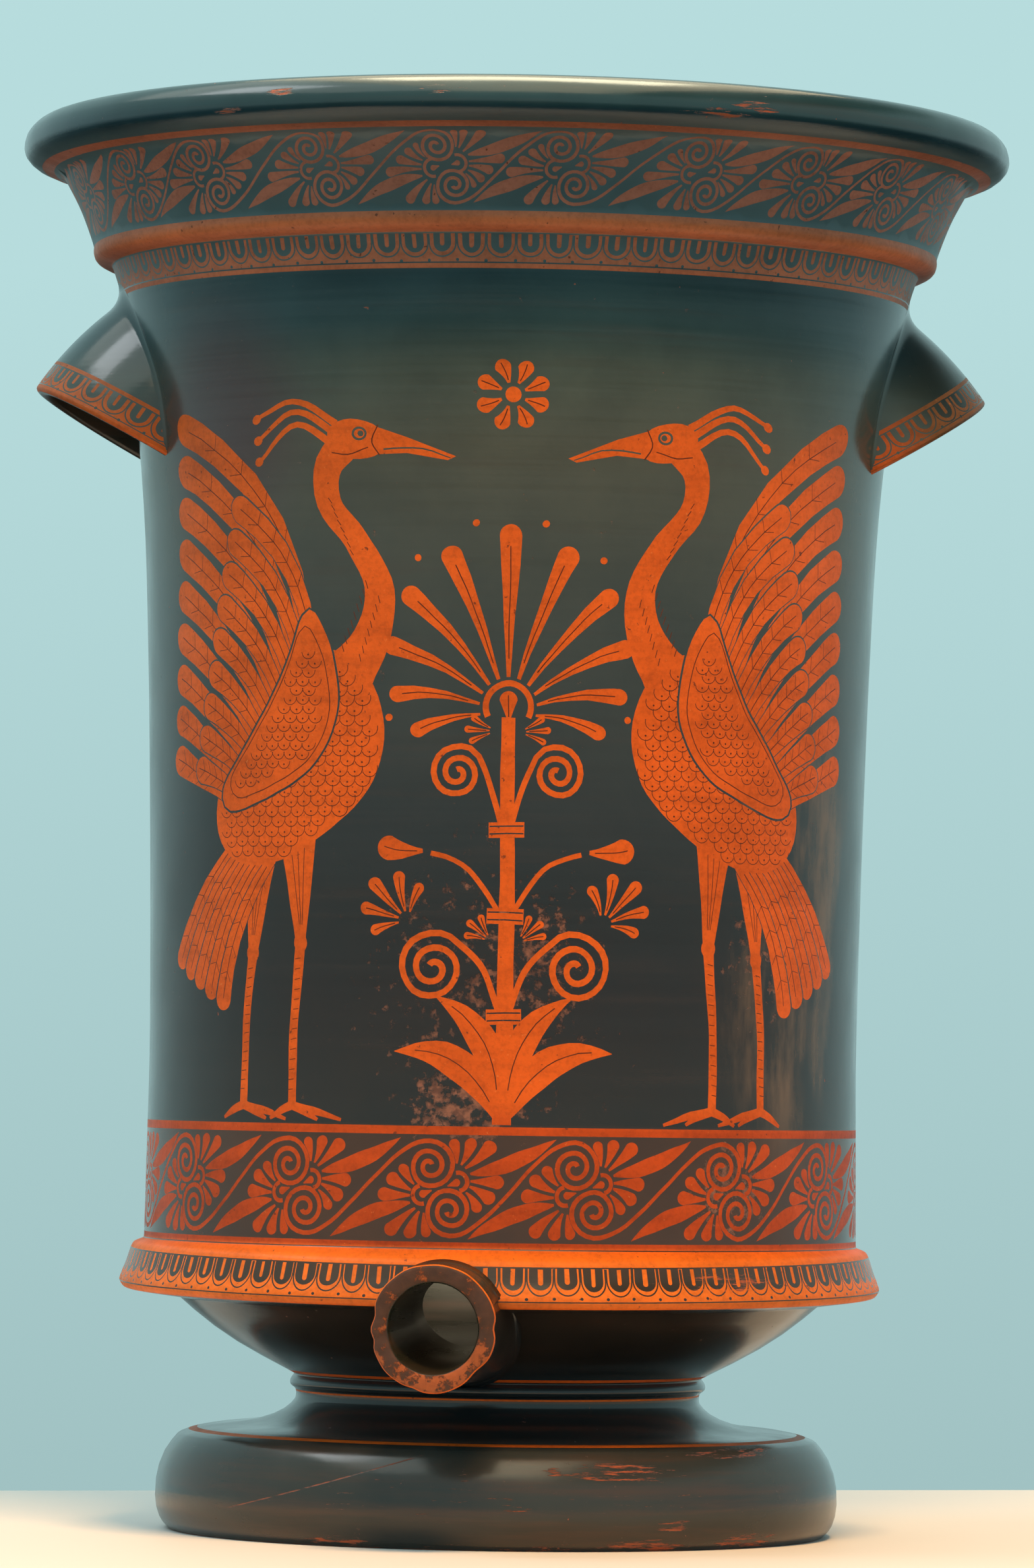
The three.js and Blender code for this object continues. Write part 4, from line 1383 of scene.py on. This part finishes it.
def build_floor(colours):
    """A pale shelf under the vessel, turned a little against the view, that ends just behind it."""
    half_width, front, back, turn = 0.6, -0.42, 0.277, math.radians(16.8)
    corners = [(-half_width, front, 0), (half_width, front, 0), (half_width, back, 0), (-half_width, back, 0)]
    mesh = bpy.data.meshes.new("floor")
    mesh.from_pydata((corners @ np.array(Matrix.Rotation(turn, 3, "Z")).T).tolist(), [], [(0, 1, 2, 3)])
    coat = Finish("pale_floor")
    pale = tuple(colours.floor)
    tone = coat.mix(coat.noise(6.0, 3.0), pale, tuple(0.96 * value for value in pale))
    mesh.materials.append(coat.finish(tone, 0.6, coat.bump(coat.noise(120.0, 3.0), 0.0002)))
    floor = bpy.data.objects.new("floor", mesh)
    bpy.context.collection.objects.link(floor)


def range_node(nodes, links, source, low, high, end=1.0):
    """A node that carries a source from between low and high to between 0 and end, evenly."""
    node = nodes.new("ShaderNodeMapRange")
    for name, value in (("From Min", low), ("From Max", high), ("To Max", end)):
        node.inputs[name].default_value = value
    links.new(source, node.inputs["Value"])
    return node.outputs["Result"]


def upper_right(nodes, links, split):
    """Strength of the light by its direction: 1, and less from high up on the right."""
    strength = nodes.new("ShaderNodeMath")
    strength.operation = "MULTIPLY_ADD"
    strength.inputs[2].default_value = 1.0
    right = range_node(nodes, links, split.outputs["X"], 0.1, 0.5, -0.85)
    links.new(right, strength.inputs[0])
    links.new(range_node(nodes, links, split.outputs["Z"], 0.48, 0.66), strength.inputs[1])
    return strength.outputs[0]


def build_air(colours):
    """Pale air: it brightens upwards where it is seen, and its light fades to dark below the floor."""
    world = bpy.data.worlds.new("pale_air")
    world.use_nodes = True
    nodes, links = world.node_tree.nodes, world.node_tree.links
    split = nodes.new("ShaderNodeSeparateXYZ")
    links.new(nodes.new("ShaderNodeTexCoord").outputs["Generated"], split.inputs[0])
    air = np.array(colours.air)
    choice = nodes.new("ShaderNodeMixShader")
    links.new(nodes.new("ShaderNodeLightPath").outputs["Is Camera Ray"], choice.inputs[0])
    links.new(choice.outputs[0], nodes["World Output"].inputs["Surface"])
    for slot, low, high, below in ((1, -0.3, -0.03, 0.03 * air), (2, -0.06, 0.1, 0.74 * air)):
        tone, shine = nodes.new("ShaderNodeMix"), nodes.new("ShaderNodeBackground")
        tone.data_type = "RGBA"
        tone.inputs[6].default_value = (*below, 1)
        tone.inputs[7].default_value = (*air, 1)
        links.new(range_node(nodes, links, split.outputs["Z"], low, high), tone.inputs[0])
        links.new(tone.outputs[2], shine.inputs["Color"])
        links.new(shine.outputs[0], choice.inputs[slot])
        if slot == 1:
            links.new(upper_right(nodes, links, split), shine.inputs["Strength"])
    bpy.context.scene.world = world


def build_stage(colours):
    """The floor, soft light from above and all round, and the camera."""
    build_floor(colours)
    build_air(colours)
    bpy.context.scene.view_settings.view_transform = "Standard"
    for name, (place, aim, width, depth, power, tint, lights, mirrored) in LAMPS.items():
        light = bpy.data.lights.new(name, "AREA")
        light.shape = "RECTANGLE"
        light.size, light.size_y, light.energy, light.color = width, depth, power, tint
        lamp = bpy.data.objects.new(name, light)
        lamp.visible_diffuse, lamp.visible_glossy = lights, mirrored
        lamp.location = place
        lamp.rotation_euler = (Vector(aim) - Vector(place)).to_track_quat("-Z", "Y").to_euler()
        bpy.context.collection.objects.link(lamp)
    camera = bpy.data.cameras.new("camera")
    camera.sensor_width = 36.0
    camera.lens = CAMERA_LENS
    camera.clip_end = 50.0
    view = bpy.data.objects.new("camera", camera)
    view.matrix_world = Matrix.Translation(CAMERA_PLACE)
    for degrees, axis in ((CAMERA_YAW, "Z"), (90 + CAMERA_PITCH, "X"), (CAMERA_ROLL, "Z")):
        view.matrix_world = view.matrix_world @ Matrix.Rotation(math.radians(degrees), 4, axis)
    bpy.context.collection.objects.link(view)
    bpy.context.scene.camera = view


class KRATER_OT_vessel(bpy.types.Operator):
    """Build the turned and painted vessel"""

    bl_idname = "krater.vessel"
    bl_label = "Vessel"

    def execute(self, context):
        build_vessel(context.scene.krater_sizes, context.scene.krater_ornament)
        return {"FINISHED"}


class KRATER_OT_handles(bpy.types.Operator):
    """Build both pocket handles"""

    bl_idname = "krater.handles"
    bl_label = "Pocket handles"

    def execute(self, context):
        build_handles(context.scene.krater_sizes, context.scene.krater_ornament)
        return {"FINISHED"}


class KRATER_OT_spout(bpy.types.Operator):
    """Build the drain spout"""

    bl_idname = "krater.spout"
    bl_label = "Spout"

    def execute(self, context):
        build_spout(context.scene.krater_sizes)
        return {"FINISHED"}


class KRATER_OT_stage(bpy.types.Operator):
    """Lay the floor and set the lights and the camera"""

    bl_idname = "krater.stage"
    bl_label = "Stage"

    def execute(self, context):
        build_stage(context.scene.krater_colours)
        return {"FINISHED"}


GROUPS = {"krater_sizes": KraterSizes, "krater_ornament": KraterOrnament, "krater_colours": KraterColours}
OPERATORS = (KRATER_OT_vessel, KRATER_OT_handles, KRATER_OT_spout, KRATER_OT_stage)


class KRATER_PT_panel(bpy.types.Panel):
    """Lists the krater's pieces and sizes"""

    bl_idname = "KRATER_PT_panel"
    bl_label = "Painted Krater"
    bl_space_type = "VIEW_3D"
    bl_region_type = "UI"
    bl_category = "Krater"

    def draw(self, context):
        for operator in OPERATORS:
            self.layout.operator(operator.bl_idname)
        for name, group in GROUPS.items():
            column = self.layout.column(align=True)
            for setting in group.__annotations__:
                column.prop(getattr(context.scene, name), setting)


def register():
    """Registers the classes and hangs the settings on the scene."""
    for cls in (*GROUPS.values(), *OPERATORS, KRATER_PT_panel):
        bpy.utils.register_class(cls)
    for name, group in GROUPS.items():
        setattr(bpy.types.Scene, name, PointerProperty(type=group))


def unregister():
    """Takes the settings and the classes out again."""
    for name in GROUPS:
        delattr(bpy.types.Scene, name)
    for cls in (KRATER_PT_panel, *OPERATORS[::-1], *GROUPS.values()):
        bpy.utils.unregister_class(cls)


def main():
    register()
    bpy.ops.krater.vessel()
    bpy.ops.krater.handles()
    bpy.ops.krater.spout()
    bpy.ops.krater.stage()


if __name__ == "__main__":
    main()
